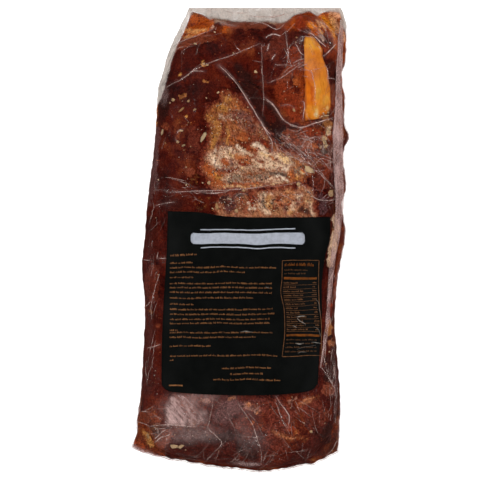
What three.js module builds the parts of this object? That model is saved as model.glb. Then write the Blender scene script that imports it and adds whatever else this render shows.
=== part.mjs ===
// A beef pot roast sealed in a tight clear bag with its juices, lying on its back with the label up.
// Millimetres, +Z up, +Y towards the flat header of the bag, origin on the table under the pack's middle.
// The bag hugs the meat, so pack is one solid out to the film. The label is a thin sheet stuck on it.
import * as THREE from "three";

// Driving sizes of the bag
const LENGTH = 380;
const THICKNESS = 74;
const BAG_WIDTH = 166;
const HEADER_Y = LENGTH / 2;
const FOOT_Y = -LENGTH / 2;

// Height at which the upper and lower film meet, along the sides and at the two ends
const SIDE_SEAM_Z = 27;
const HEADER_SEAM_Z = 16;
const FOOT_SEAM_Z = 18;

// The meat's rounding: how far in from its rim the top is level, how square its corners and shoulders are
const ROUND = 60;
const CORNER_POWER = 4;
const SHOULDER_POWER = 2.5;
const UNDER_ROUND = 27;

// Film beyond the meat: half its thickness, its waviness, and the small tent where it leaves the meat
const FILM_HALF = 0.6;
const FILM_WAVE = { height: 1.3, x: 47, y: 29 };
const TENT_SHARE = 0.1;
const TENT_FALL = 2;
const TENT_POWER = 3;

// Plan edges of the bag, as [y, x] stations from header to foot
const LEFT_EDGE = [
  [190, -41.6], [177, -47.4], [157, -57.2], [137, -63], [121, -67.2], [98, -68.5],
  [74, -70.4], [29, -76.1], [4, -77.8], [-22, -80.2], [-50, -77.8], [-82, -78.6],
  [-124, -81], [-149, -84.6], [-157, -84.9], [-169.5, -89],
];
const RIGHT_EDGE = [
  [190, 82.3], [185, 84.7], [172, 87.2], [147, 86.8], [135, 83.5], [114, 86.4],
  [98, 85.6], [84, 89.2], [70, 84.8], [41, 87.2], [30, 83.9], [4, 86.4],
  [-30, 80.2], [-64, 77.6], [-89, 79], [-128, 81.9], [-163, 81.2], [-173.6, 80.6],
];
// Foot seal, as [share of the width from the left, y]
const FOOT_EDGE = [
  [0, -169.5], [0.05, -173.8], [0.14, -178], [0.28, -182.6], [0.44, -186.6], [0.64, FOOT_Y],
  [0.74, -187.8], [0.84, -184.2], [0.88, -184.5], [0.93, -179.4], [1, -173.6],
];
// Film that stands out past the meat on each side, as [y, width]
const LEFT_LIP = [[190, 5], [150, 3], [118, 1], [-130, 1], [-160, 4]];
const RIGHT_LIP = [[190, 3], [150, 6], [20, 7], [-30, 3], [-70, 1.2], [-150, 1.2], [-174, 3]];
// Flat film past the meat at the header and the foot, as [share of the width, length]
const HEADER_LIP = [[0, 4], [0.2, 8], [0.3, 12], [0.4, 10], [0.62, 12], [0.75, 5], [1, 4]];
const FOOT_LIP = [[0, 5], [0.2, 3.5], [0.6, 3], [0.85, 3.5], [1, 5]];
// Height of the meat's back along the length, as [y, share of the thickness]
const BACK = [[190, 0.86], [130, 0.91], [60, 0.96], [-20, 0.985], [-90, 1], [-140, 0.97], [-190, 0.9]];

// Swells and hollows of the meat: place, reach along and across, turn in degrees, height
const LUMPS = [
  { name: "crusted swell", x: -4, y: 92, along: 40, across: 34, turn: 80, height: 3.4 },
  { name: "upper right lobe", x: 38, y: 130, along: 26, across: 18, turn: 70, height: 3 },
  { name: "dark fold", x: 28, y: 106, along: 34, across: 7, turn: -58, height: -4.4 },
  { name: "upper left hollow", x: -48, y: 104, along: 24, across: 18, turn: 60, height: -2.6 },
  { name: "upper left swell", x: -32, y: 138, along: 28, across: 16, turn: 25, height: 2.2 },
  { name: "pale ridge", x: 16, y: 66, along: 38, across: 9, turn: 4, height: 2.6 },
  { name: "grey gully", x: 20, y: 51, along: 32, across: 6, turn: 5, height: -2.4 },
  { name: "orange fat strip", x: 62, y: 125, along: 33, across: 8, turn: -86, height: 2 },
  { name: "right gully", x: 52, y: 86, along: 26, across: 7, turn: 18, height: -2.6 },
  { name: "left dent", x: -70, y: -34, along: 18, across: 9, turn: 90, height: -1.6 },
  { name: "lower left plane", x: -40, y: -140, along: 34, across: 18, turn: 8, height: 2 },
  { name: "foot hollow", x: -12, y: -160, along: 34, across: 10, turn: -8, height: -3.4 },
  { name: "lower right swell", x: 46, y: -150, along: 34, across: 22, turn: 12, height: 2.2 },
];
// Slow waves of the whole top: wavelengths along x and y, phase and height
const WAVES = [
  { x: 61, y: 83, phase: 0.7, height: 0.9 },
  { x: 37, y: -49, phase: 2.1, height: 0.55 },
];

// Label: its plan edges, thickness and the clear gap under it
const LABEL_THICK = 0.5;
const LABEL_GAP = 0.5;
const LABEL_LEFT = [[24, -58.8], [-9, -59.7], [-50, -62.2], [-91, -63.8], [-127, -63.8]];
const LABEL_RIGHT = [[24, 73.8], [0, 73.2], [-13, 69.4], [-35, 66.8], [-64, 66.8], [-91, 64.8], [-127, 62.8]];
const LABEL_TOP = [[0, 23.6], [0.2, 22.4], [0.36, 19.2], [0.6, 18.4], [1, 18.8]];
const LABEL_FOOT = [
  [0, -118], [0.03, -122], [0.1, -124], [0.4, -126], [0.7, -126], [0.9, -124], [0.97, -121.5], [1, -117],
];

// Mesh density: rows drawn close together towards the rim, and even ones between them
const RIM_ROWS = 9;
const RIM_REACH = 40;
const MIDDLE_COLUMNS = 13;
const MIDDLE_ROWS = 42;
const UNDER_ROWS = 6;
const FILM_SHARES = [0.5, 1];
const LABEL_COLUMNS = 21;
const LABEL_ROWS = 23;
const LABEL_CROWDING = 0.35;
const SLIDE_STEPS = 26;

const { clamp, degToRad, lerp, smoothstep } = THREE.MathUtils;

// A smooth curve through stations [at, value], held level past both ends.
function smooth(stations, at) {
  const rising = stations[0][0] < stations[stations.length - 1][0];
  const list = rising ? stations : [...stations].reverse();
  const last = list.length - 1;
  if (at <= list[0][0]) return list[0][1];
  if (at >= list[last][0]) return list[last][1];
  const k = list.findIndex((station) => station[0] > at) - 1;
  const slope = (i) => {
    const before = list[Math.max(i - 1, 0)];
    const after = list[Math.min(i + 1, last)];
    return (after[1] - before[1]) / (after[0] - before[0]);
  };
  const step = list[k + 1][0] - list[k][0];
  const f = (at - list[k][0]) / step;
  const bend = f * (1 - f) * step * ((1 - f) * slope(k) - f * slope(k + 1));
  return lerp(list[k][1], list[k + 1][1], f * f * (3 - 2 * f)) + bend;
}

// The plan point at shares u across and v along a four-sided outline, each from 0 to 1.
function planPoint({ left, right, foot, head }, u, v) {
  const y = lerp(foot(u), head(u), v);
  return { x: lerp(left(y), right(y), u), y };
}

// The outline of the bag, and that of the meat in it before its corners are rounded
const bag = {
  left: (y) => smooth(LEFT_EDGE, y),
  right: (y) => smooth(RIGHT_EDGE, y),
  foot: (u) => smooth(FOOT_EDGE, u),
  head: () => HEADER_Y,
};
const meat = {
  left: (y) => bag.left(y) + smooth(LEFT_LIP, y),
  right: (y) => bag.right(y) - smooth(RIGHT_LIP, y),
  foot: (u) => bag.foot(u) + smooth(FOOT_LIP, u),
  head: (u) => HEADER_Y - smooth(HEADER_LIP, u),
};

// How far a plan point lies short of the level middle, across and along, 1 at a straight rim.
function shortfall(x, y) {
  const u = clamp((x - meat.left(y)) / (meat.right(y) - meat.left(y)), 0, 1);
  const fromSide = Math.min(x - meat.left(y), meat.right(y) - x);
  const fromEnd = Math.min(meat.head(u) - y, y - meat.foot(u));
  return [Math.max(1 - fromSide / ROUND, 0), Math.max(1 - fromEnd / ROUND, 0)];
}

// 0 where the meat is level and 1 at its rim, which the power rounds off at the corners.
function outness(x, y) {
  const [across, along] = shortfall(x, y);
  return Math.pow(across ** CORNER_POWER + along ** CORNER_POWER, 1 / CORNER_POWER);
}

// Draws a point of the square-cornered grid in towards the meat's spine, so that the grid's loops
// follow the rounded rim.
function slideIn({ x, y }) {
  const target = Math.max(...shortfall(x, y));
  const spineY = clamp(y, FOOT_Y + ROUND, HEADER_Y - ROUND);
  const spineX = (meat.left(spineY) + meat.right(spineY)) / 2;
  let low = 0;
  let high = 1;
  for (let step = 0; step < SLIDE_STEPS; step++) {
    const middle = (low + high) / 2;
    if (outness(lerp(x, spineX, middle), lerp(y, spineY, middle)) > target) low = middle;
    else high = middle;
  }
  return { x: lerp(x, spineX, low), y: lerp(y, spineY, low) };
}

// Height where the two films meet, lower towards the header and the foot.
function seamHeight(y) {
  const toHeader = smoothstep(y, HEADER_Y - ROUND, HEADER_Y);
  const toFoot = smoothstep(-y, -FOOT_Y - ROUND, -FOOT_Y);
  return SIDE_SEAM_Z + (HEADER_SEAM_Z - SIDE_SEAM_Z) * toHeader + (FOOT_SEAM_Z - SIDE_SEAM_Z) * toFoot;
}

// Height of the meat's back above the seam.
function backHeight(y) {
  return smooth(BACK, y) * THICKNESS - seamHeight(y);
}

// Swells, hollows and slow waves at a plan point.
function relief(x, y) {
  const lumps = LUMPS.reduce((sum, lump) => {
    const turn = degToRad(lump.turn);
    const dx = x - lump.x;
    const dy = y - lump.y;
    const along = (dx * Math.cos(turn) + dy * Math.sin(turn)) / lump.along;
    const across = (dy * Math.cos(turn) - dx * Math.sin(turn)) / lump.across;
    return sum + lump.height * Math.exp(-(along * along + across * across));
  }, 0);
  return WAVES.reduce(
    (sum, wave) => sum + wave.height * Math.sin(2 * Math.PI * (x / wave.x + y / wave.y) + wave.phase),
    lumps,
  );
}

// Upper film over the meat: a block with round shoulders that starts at the tent's height, and its relief.
function topHeight(x, y) {
  const out = Math.min(outness(x, y), 1);
  const block = Math.pow(1 - out ** SHOULDER_POWER, 1 / SHOULDER_POWER);
  const share = Math.pow(block ** TENT_POWER + TENT_SHARE ** TENT_POWER, 1 / TENT_POWER);
  return seamHeight(y) + FILM_HALF + share * backHeight(y) + relief(x, y) * block;
}

// Lower film: a quarter round from the seam to the flat that the pack lies on.
function undersideHeight(x, y) {
  const round = clamp(1 - ((1 - outness(x, y)) * ROUND) / UNDER_ROUND, 0, 1);
  const share = Math.sqrt(1 - round * round);
  return (seamHeight(y) - FILM_HALF) * (1 - share);
}

// Bare film past the rim, from 0 at the rim to 1 at its edge: the seam's height, a tent over it and waves.
function filmHeight(x, y, share, side) {
  const wave = FILM_WAVE.height * share * Math.sin(2 * Math.PI * (x / FILM_WAVE.x + y / FILM_WAVE.y));
  const tent = side > 0 ? TENT_SHARE * backHeight(y) * (1 - share) ** TENT_FALL : 0;
  return seamHeight(y) + wave + tent + side * FILM_HALF;
}

// Shares from 0 to 1 along a length, close together towards both ends and even between.
function rimShares(length, middleRows) {
  const nearRim = Array.from(
    { length: RIM_ROWS },
    (_, i) => (RIM_REACH / length) * (1 - Math.cos((Math.PI / 2) * (i / RIM_ROWS))),
  );
  const reach = RIM_REACH / length;
  const middle = Array.from({ length: middleRows + 1 }, (_, i) => lerp(reach, 1 - reach, i / middleRows));
  return [...nearRim, ...middle, ...nearRim.map((share) => 1 - share).reverse()];
}

// Grid point numbers once round the border, anticlockwise from above, from the lower left corner.
function borderLoop(columns, rows) {
  const at = (i, j) => j * (columns + 1) + i;
  const loop = [];
  for (let i = 0; i < columns; i++) loop.push(at(i, 0));
  for (let j = 0; j < rows; j++) loop.push(at(columns, j));
  for (let i = columns; i > 0; i--) loop.push(at(i, rows));
  for (let j = rows; j > 0; j--) loop.push(at(0, j));
  return loop;
}

// Two triangles for each cell of a grid, facing up.
function gridFaces(columns, rows, first) {
  const faces = [];
  for (let j = 0; j < rows; j++) {
    for (let i = 0; i < columns; i++) {
      const a = first + j * (columns + 1) + i;
      const c = a + columns + 1;
      faces.push(a, a + 1, c + 1, a, c + 1, c);
    }
  }
  return faces;
}

// Two triangles for each step between two loops of equal length, upper first.
function bandFaces(upper, lower) {
  return upper.flatMap((a, k) => {
    const next = (k + 1) % upper.length;
    return [a, lower[k], lower[next], a, lower[next], upper[next]];
  });
}

function geometryOf(points, faces) {
  const geometry = new THREE.BufferGeometry();
  geometry.setAttribute("position", new THREE.Float32BufferAttribute(points.flat(), 3));
  geometry.setIndex(faces);
  geometry.computeVertexNormals();
  return geometry;
}

// The pack: a grid for the meat's back, then loops out over the film, in under it and down to the flat.
function packGeometry() {
  const across = rimShares(BAG_WIDTH, MIDDLE_COLUMNS);
  const along = rimShares(LENGTH, MIDDLE_ROWS);
  const shares = along.flatMap((v) => across.map((u) => [u, v]));
  const plan = shares.map(([u, v]) => slideIn(planPoint(meat, u, v)));
  const points = plan.map(({ x, y }) => [x, y, topHeight(x, y)]);
  const faces = gridFaces(across.length - 1, along.length - 1, 0);
  const border = borderLoop(across.length - 1, along.length - 1);
  const rim = border.map((number) => plan[number]);
  const edge = border.map((number) => planPoint(bag, ...shares[number]));

  let upper = border;
  const addLoop = (places) => {
    const lower = places.map((_, k) => points.length + k);
    points.push(...places);
    faces.push(...bandFaces(upper, lower));
    upper = lower;
  };
  const filmLoop = (share, side) =>
    addLoop(
      rim.map((place, k) => {
        const x = lerp(place.x, edge[k].x, share);
        const y = lerp(place.y, edge[k].y, share);
        return [x, y, filmHeight(x, y, share, side)];
      }),
    );
  FILM_SHARES.forEach((share) => filmLoop(share, 1));
  [...FILM_SHARES].reverse().forEach((share) => filmLoop(share, -1));
  for (let row = 0; row <= UNDER_ROWS; row++) {
    const inward = (UNDER_ROUND / BAG_WIDTH) * (1 - Math.cos((Math.PI / 2) * (row / UNDER_ROWS)));
    const endward = (inward * BAG_WIDTH) / LENGTH;
    addLoop(
      border.map((number) => {
        const [u, v] = shares[number];
        const { x, y } = slideIn(planPoint(meat, lerp(inward, 1 - inward, u), lerp(endward, 1 - endward, v)));
        return [x, y, undersideHeight(x, y)];
      }),
    );
  }
  const flat = upper.map((number) => new THREE.Vector2(points[number][0], points[number][1]));
  for (const number of upper) points[number][2] = 0;
  for (const [a, b, c] of THREE.ShapeUtils.triangulateShape(flat, [])) {
    faces.push(upper[a], upper[c], upper[b]);
  }
  return geometryOf(points, faces);
}

// The label: a sheet of even thickness that follows the upper film, a small gap above it.
function labelGeometry() {
  const outline = {
    left: (y) => smooth(LABEL_LEFT, y),
    right: (y) => smooth(LABEL_RIGHT, y),
    foot: (u) => smooth(LABEL_FOOT, u),
    head: (u) => smooth(LABEL_TOP, u),
  };
  const crowded = (count) =>
    Array.from({ length: count + 1 }, (_, i) =>
      lerp(i / count, (1 - Math.cos((Math.PI * i) / count)) / 2, LABEL_CROWDING),
    );
  const plan = crowded(LABEL_ROWS).flatMap((v) => crowded(LABEL_COLUMNS).map((u) => planPoint(outline, u, v)));
  const lift = (height) => plan.map(({ x, y }) => [x, y, topHeight(x, y) + height]);
  const points = [...lift(LABEL_GAP + LABEL_THICK), ...lift(LABEL_GAP)];
  const border = borderLoop(LABEL_COLUMNS, LABEL_ROWS);
  const faces = [
    ...gridFaces(LABEL_COLUMNS, LABEL_ROWS, 0),
    ...gridFaces(LABEL_COLUMNS, LABEL_ROWS, plan.length).reverse(),
    ...bandFaces(border, border.map((number) => number + plan.length)),
  ];
  return geometryOf(points, faces);
}

function namedMesh(name, geometry, material) {
  const mesh = new THREE.Mesh(geometry, new THREE.MeshStandardMaterial(material));
  mesh.name = name;
  return mesh;
}

const potRoast = new THREE.Group();
potRoast.add(
  namedMesh("pack", packGeometry(), { color: 0x5a241b, roughness: 0.25, metalness: 0 }),
  namedMesh("label", labelGeometry(), { color: 0x121412, roughness: 0.4, metalness: 0 }),
);

export default potRoast;
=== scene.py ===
import math

import bpy
import numpy as np
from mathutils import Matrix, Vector


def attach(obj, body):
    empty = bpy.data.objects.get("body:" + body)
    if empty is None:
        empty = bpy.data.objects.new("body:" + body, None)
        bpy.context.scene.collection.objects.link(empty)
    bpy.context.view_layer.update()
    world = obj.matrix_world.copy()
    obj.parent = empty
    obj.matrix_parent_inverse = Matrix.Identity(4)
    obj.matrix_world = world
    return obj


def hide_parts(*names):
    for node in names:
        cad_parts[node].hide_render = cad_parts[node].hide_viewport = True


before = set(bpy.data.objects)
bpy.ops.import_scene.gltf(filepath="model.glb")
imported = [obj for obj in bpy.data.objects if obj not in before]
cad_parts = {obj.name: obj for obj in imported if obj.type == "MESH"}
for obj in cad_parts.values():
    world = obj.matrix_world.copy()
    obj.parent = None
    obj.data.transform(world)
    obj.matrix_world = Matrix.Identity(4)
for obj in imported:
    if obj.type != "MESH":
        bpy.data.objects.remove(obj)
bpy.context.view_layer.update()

MM = 0.001

# Driving sizes of the bag, as in the part
LENGTH = 380
THICKNESS = 74
BAG_WIDTH = 166
HEADER_Y = LENGTH / 2
FOOT_Y = -LENGTH / 2
SIDE_SEAM_Z = 27
HEADER_SEAM_Z = 16
FOOT_SEAM_Z = 18
ROUND = 60
CORNER_POWER = 4
SHOULDER_POWER = 2.5
UNDER_ROUND = 27
FILM_HALF = 0.6
TENT_SHARE = 0.1
TENT_POWER = 3
TENT_REACH = 3.5

# Plan edges of the bag and the bare film past the meat, as in the part
LEFT_EDGE = [
    (190, -41.6), (177, -47.4), (157, -57.2), (137, -63), (121, -67.2), (98, -68.5), (74, -70.4),
    (29, -76.1), (4, -77.8), (-22, -80.2), (-50, -77.8), (-82, -78.6), (-124, -81), (-149, -84.6),
    (-157, -84.9), (-169.5, -89),
]
RIGHT_EDGE = [
    (190, 82.3), (185, 84.7), (172, 87.2), (147, 86.8), (135, 83.5), (114, 86.4), (98, 85.6), (84, 89.2),
    (70, 84.8), (41, 87.2), (30, 83.9), (4, 86.4), (-30, 80.2), (-64, 77.6), (-89, 79), (-128, 81.9),
    (-163, 81.2), (-173.6, 80.6),
]
FOOT_EDGE = [
    (0, -169.5), (0.05, -173.8), (0.14, -178), (0.28, -182.6), (0.44, -186.6), (0.64, FOOT_Y),
    (0.74, -187.8), (0.84, -184.2), (0.88, -184.5), (0.93, -179.4), (1, -173.6),
]
LEFT_LIP = [(190, 5), (150, 3), (118, 1), (-130, 1), (-160, 4)]
RIGHT_LIP = [(190, 3), (150, 6), (20, 7), (-30, 3), (-70, 1.2), (-150, 1.2), (-174, 3)]
HEADER_LIP = [(0, 4), (0.2, 8), (0.3, 12), (0.4, 10), (0.62, 12), (0.75, 5), (1, 4)]
# How far the bare film reaches in from the header's edge
HEADER_BARE = [
    (-45, 2), (-38, 2), (-34, 3.5), (-30, 5), (-27, 6.5), (-24.5, 8), (-20, 7.5), (-12, 8.5), (-6, 10),
    (20, 10.5), (34, 11), (38, 10), (43, 6.5), (46, 4.5), (50, 3), (57, 2), (61, 4), (63.5, 5.5), (67, 3),
    (72, 2), (80, 2.5), (84, 4),
]
FOOT_LIP = [(0, 5), (0.2, 3.5), (0.6, 3), (0.85, 3.5), (1, 5)]
BACK = [(190, 0.86), (130, 0.91), (60, 0.96), (-20, 0.985), (-90, 1), (-140, 0.97), (-190, 0.9)]

# Swells and hollows of the meat as x, y, reach along, reach across, turn in degrees, height
LUMPS = {
    "crusted swell": (-4, 92, 40, 34, 80, 3.4),
    "upper right lobe": (38, 130, 26, 18, 70, 3),
    "dark fold": (28, 106, 34, 7, -58, -4.4),
    "upper left hollow": (-48, 104, 24, 18, 60, -2.6),
    "upper left swell": (-32, 138, 28, 16, 25, 2.2),
    "pale ridge": (16, 66, 38, 9, 4, 2.6),
    "grey gully": (20, 51, 32, 6, 5, -2.4),
    "orange fat strip": (62, 125, 33, 8, -86, 2),
    "right gully": (52, 86, 26, 7, 18, -2.6),
    "left dent": (-70, -34, 18, 9, 90, -1.6),
    "lower left plane": (-40, -140, 34, 18, 8, 2),
    "foot hollow": (-12, -160, 34, 10, -8, -3.4),
    "lower right swell": (46, -150, 34, 22, 12, 2.2),
}
# Slow waves as length across, length along, phase, height
WAVES = [(61, 83, 0.7, 0.9), (37, -49, 2.1, 0.55)]
# The wave of the bare film: its lengths and height, and how far past the rim it takes to grow
LIP_WAVE_X = 47
LIP_WAVE_Y = 29
LIP_WAVE_HEIGHT = 1.3
LIP_WAVE_GROWTH = 6

# Label, as in the part
LABEL_THICK = 0.5
LABEL_GAP = 0.5
LABEL_LEFT = [(24, -58.8), (-9, -59.7), (-50, -62.2), (-91, -63.8), (-127, -63.8)]
LABEL_RIGHT = [(24, 73.8), (0, 73.2), (-13, 69.4), (-35, 66.8), (-64, 66.8), (-91, 64.8), (-127, 62.8)]
LABEL_TOP = [(0, 23.6), (0.2, 22.4), (0.36, 19.2), (0.6, 18.4), (1, 18.8)]
LABEL_FOOT = [
    (0, -118), (0.03, -122), (0.1, -124), (0.4, -126), (0.7, -126), (0.9, -124), (0.97, -121.5), (1, -117),
]

# Where the film lies smooth under the label
LABEL_HEAD_Y = 21
LABEL_FOOT_Y = -124
LABEL_FRINGE = 4

# Unevenness of the upper film
DIMPLE_DEPTH = 0.45
PINCH_DEPTH = 0.18
PLEAT_DEPTH = 0.22

# Mesh density: rows close together within reach of the rim, and even ones between them
RIM_ROWS = 34
RIM_REACH = 40
MIDDLE_COLUMNS = 92
MIDDLE_ROWS = 322
LIP_ROWS = 8
UNDER_ROWS = 14
LABEL_COLUMNS = 148
LABEL_ROWS = 164
SLIDE_STEPS = 26
# Cells across the lattice of the noise, after which it repeats
LATTICE = 64


def lerp(a, b, share):
    """a, or b by its share."""
    return a + (b - a) * share


def ease(low, high, value):
    """0 below low, 1 above high, and 3f^2 - 2f^3 of the share f between."""
    share = np.clip((value - low) / (high - low), 0, 1)
    return share * share * (3 - 2 * share)


def smooth(stations, at):
    """A cubic through [at, value] stations, each with the slope of the line between its neighbours."""
    places, values = np.array(sorted(stations), float).T
    last = len(places) - 1
    before = np.maximum(np.arange(last + 1) - 1, 0)
    after = np.minimum(np.arange(last + 1) + 1, last)
    slopes = (values[after] - values[before]) / (places[after] - places[before])
    at = np.clip(at, places[0], places[-1])
    k = np.clip(np.searchsorted(places, at, side="right") - 1, 0, last - 1)
    step = places[k + 1] - places[k]
    f = (at - places[k]) / step
    bend = f * (1 - f) * step * ((1 - f) * slopes[k] - f * slopes[k + 1])
    return lerp(values[k], values[k + 1], f * f * (3 - 2 * f)) + bend


# Shape of the pack: every height is a function of the plan point


def bag_point(u, v):
    """Plan point at shares u across and v along the bag's outline, whose film edge is a little ragged but
    for the straight cut of the header."""
    y = lerp(smooth(FOOT_EDGE, u), HEADER_Y, v)
    x = lerp(smooth(LEFT_EDGE, y), smooth(RIGHT_EDGE, y), u)
    ragged = 1 - ease(0.97, 1, v)
    return x + 0.5 * noise(x, y, 5, 3) * ragged, y + 0.9 * noise(x, y, 6, 4) * ragged


def meat_sides(y):
    """The meat's left and right edges: the bag's, less its bare lip."""
    return smooth(LEFT_EDGE, y) + smooth(LEFT_LIP, y), smooth(RIGHT_EDGE, y) - smooth(RIGHT_LIP, y)


def meat_ends(u):
    """The meat's foot and head at a share across: the bag's, less its bare lip."""
    return smooth(FOOT_EDGE, u) + smooth(FOOT_LIP, u), HEADER_Y - smooth(HEADER_LIP, u)


def meat_point(u, v):
    """Plan point at shares u across and v along the meat's outline."""
    foot, head = meat_ends(u)
    y = lerp(foot, head, v)
    left, right = meat_sides(y)
    return lerp(left, right, u), y


def shortfall(x, y):
    """How far a point lies short of the level middle, across and along: 1 less its distance from the rim
    over ROUND."""
    left, right = meat_sides(y)
    foot, head = meat_ends(np.clip((x - left) / (right - left), 0, 1))
    from_side = np.minimum(x - left, right - x)
    from_end = np.minimum(head - y, y - foot)
    return np.maximum(1 - from_side / ROUND, 0), np.maximum(1 - from_end / ROUND, 0)


def outness(x, y):
    """0 where the meat is level, 1 at its rim, more on bare film: both shortfalls joined by a power, which
    rounds the rim's corners."""
    across, along = shortfall(x, y)
    return (across**CORNER_POWER + along**CORNER_POWER) ** (1 / CORNER_POWER)


def slide_in(x, y):
    """Draws points in towards the spine until outness equals their larger shortfall, by halving the way."""
    target = np.maximum(*shortfall(x, y))
    spine_y = np.clip(y, FOOT_Y + ROUND, HEADER_Y - ROUND)
    spine_x = sum(meat_sides(spine_y)) / 2
    low = np.zeros_like(x)
    high = np.ones_like(x)
    for _ in range(SLIDE_STEPS):
        middle = (low + high) / 2
        outside = outness(lerp(x, spine_x, middle), lerp(y, spine_y, middle)) > target
        low = np.where(outside, middle, low)
        high = np.where(outside, high, middle)
    return lerp(x, spine_x, low), lerp(y, spine_y, low)


def seam_height(y):
    """Height of the bag's rim: level along the sides, and eased to the header's and the foot's."""
    header = ease(HEADER_Y - ROUND, HEADER_Y, y)
    foot = ease(-FOOT_Y - ROUND, -FOOT_Y, -y)
    return SIDE_SEAM_Z + (HEADER_SEAM_Z - SIDE_SEAM_Z) * header + (FOOT_SEAM_Z - SIDE_SEAM_Z) * foot


def spot(x, y, place, reach, turn=0, power=2):
    """1 at a place, falling as exp(-r^power), r being the distance over the reach along and across a turned
    axis."""
    angle = math.radians(turn)
    dx = x - place[0]
    dy = y - place[1]
    along = (dx * math.cos(angle) + dy * math.sin(angle)) / reach[0]
    across = (dy * math.cos(angle) - dx * math.sin(angle)) / reach[1]
    return np.exp(-((along * along + across * across) ** (power / 2)))


def relief(x, y):
    """The sum of the lumps and of slow sine waves."""
    total = sum(height * spot(x, y, (px, py), (along, across), turn)
                for px, py, along, across, turn, height in LUMPS.values())
    for wave_x, wave_y, phase, height in WAVES:
        total = total + height * np.sin(2 * math.pi * (x / wave_x + y / wave_y) + phase)
    return total


def lip_wave(x, y, out):
    """Bare film waves up and down by more than a millimetre, and not at all at the rim."""
    wave = np.sin(2 * math.pi * (x / LIP_WAVE_X + y / LIP_WAVE_Y))
    return LIP_WAVE_HEIGHT * wave * ease(0, LIP_WAVE_GROWTH, (out - 1) * ROUND)


def smooth_top(x, y):
    """Upper film without wrinkles: a block with round shoulders, a tent that falls off past its rim, and
    the relief."""
    out = outness(x, y)
    block = (1 - np.minimum(out, 1) ** SHOULDER_POWER) ** (1 / SHOULDER_POWER)
    tent = TENT_SHARE * np.exp(-np.maximum(out - 1, 0) * ROUND / TENT_REACH)
    share = (block**TENT_POWER + tent**TENT_POWER) ** (1 / TENT_POWER)
    seam = seam_height(y)
    back = smooth(BACK, y) * THICKNESS - seam
    return seam + FILM_HALF + share * back + relief(x, y) * block + lip_wave(x, y, out)


def smooth_under(x, y):
    """Lower film: a quarter round from the seam down to the flat, and level with the seam past the rim."""
    out = outness(x, y)
    turned = np.clip(1 - (1 - out) * ROUND / UNDER_ROUND, 0, 1)
    share = np.sqrt(1 - turned * turned)
    return (seam_height(y) - FILM_HALF) * (1 - share) + lip_wave(x, y, out)


# Random fields


def noise(x, y, size, seed):
    """Gradient noise from -1 to 1: random slopes on a lattice of the given size, joined by smooth steps."""
    rng = np.random.default_rng(seed)
    angle = rng.uniform(0, 2 * math.pi, (LATTICE, LATTICE))
    gx = x / size
    gy = y / size
    ix = np.floor(gx).astype(int)
    iy = np.floor(gy).astype(int)
    fx = gx - ix
    fy = gy - iy

    def corner(i, j):
        turn = angle[(ix + i) % LATTICE, (iy + j) % LATTICE]
        return np.cos(turn) * (fx - i) + np.sin(turn) * (fy - j)

    sx = fx * fx * fx * (fx * (fx * 6 - 15) + 10)
    sy = fy * fy * fy * (fy * (fy * 6 - 15) + 10)
    low = lerp(corner(0, 0), corner(1, 0), sx)
    high = lerp(corner(0, 1), corner(1, 1), sx)
    return 1.5 * lerp(low, high, sy)


def fractal(x, y, size, seed, octaves=4, gain=0.55):
    """Noise summed over octaves, each half the size and gain times the height of the last."""
    layers = [gain**k * noise(x, y, size / 2**k, seed + k) for k in range(octaves)]
    return sum(layers) / sum(gain**k for k in range(octaves))


def ripple(x, y):
    """Small lasting unevenness of the upper film: soft dimples with pinched seams, and fine pleats across
    the sides, all weaker under the label."""
    inside = ease(0, 0.3, 1 - outness(x, y))
    dimples = DIMPLE_DEPTH * fractal(x, y, 13, 11) + PINCH_DEPTH * np.abs(noise(x, y, 4.5, 15))
    side = ease(0.35, 0.9, np.minimum(outness(x, y), 1))
    pleats = PLEAT_DEPTH * noise(x * 0.25, y, 2.6, 17) * side
    return (dimples * (0.4 + 0.6 * inside) + pleats) * (1 - 0.8 * under_label(x, y))


def under_label(x, y):
    """1 under the label and 0 a little way outside it."""
    left = smooth(LABEL_LEFT, y)
    right = smooth(LABEL_RIGHT, y)
    across = np.minimum(x - left, right - x)
    along = np.minimum(LABEL_HEAD_Y - y, y - LABEL_FOOT_Y)
    return ease(-LABEL_FRINGE, 1, np.minimum(across, along))


def film_top(x, y):
    """The upper film: its smooth shape and its small unevenness."""
    return smooth_top(x, y) + ripple(x, y)


# Meshes


def put_object(name, data):
    """An object at the origin that shows the data."""
    made = bpy.data.objects.new(name, data)
    bpy.context.scene.collection.objects.link(made)
    return made


def add_piece(name, points, faces, material, fields, node, flat=False):
    """A mesh object at the origin from points in millimetres, in a node's place, with a number or a colour
    for each field on its points."""
    mesh = bpy.data.meshes.new(name)
    mesh.from_pydata(np.asarray(points) * MM, [], faces)
    for field, values in fields.items():
        values = np.asarray(values, np.float32)
        if values.ndim == 2:
            attribute = mesh.attributes.new(field, "FLOAT_COLOR", "POINT")
            attribute.data.foreach_set("color", np.column_stack([values, np.ones(len(values))]).ravel())
        else:
            attribute = mesh.attributes.new(field, "FLOAT", "POINT")
            attribute.data.foreach_set("value", values)
    mesh.polygons.foreach_set("use_smooth", np.full(len(mesh.polygons), not flat))
    mesh.materials.append(material)
    mesh.validate()
    piece = put_object(name, mesh)
    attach(piece, "root")
    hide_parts(node)


def rim_shares(length, middle_rows):
    """Shares from 0 to 1 along a length, close together towards both ends and even between."""
    reach = RIM_REACH / length
    near_rim = reach * (1 - np.cos(math.pi / 2 * np.arange(RIM_ROWS) / RIM_ROWS))
    middle = np.linspace(reach, 1 - reach, middle_rows + 1)
    return np.concatenate([near_rim, middle, 1 - near_rim[::-1]])


def grid_points(across, along):
    """Every pair of a value across and a value along, row by row."""
    u, v = np.meshgrid(across, along)
    return u.ravel(), v.ravel()


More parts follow.
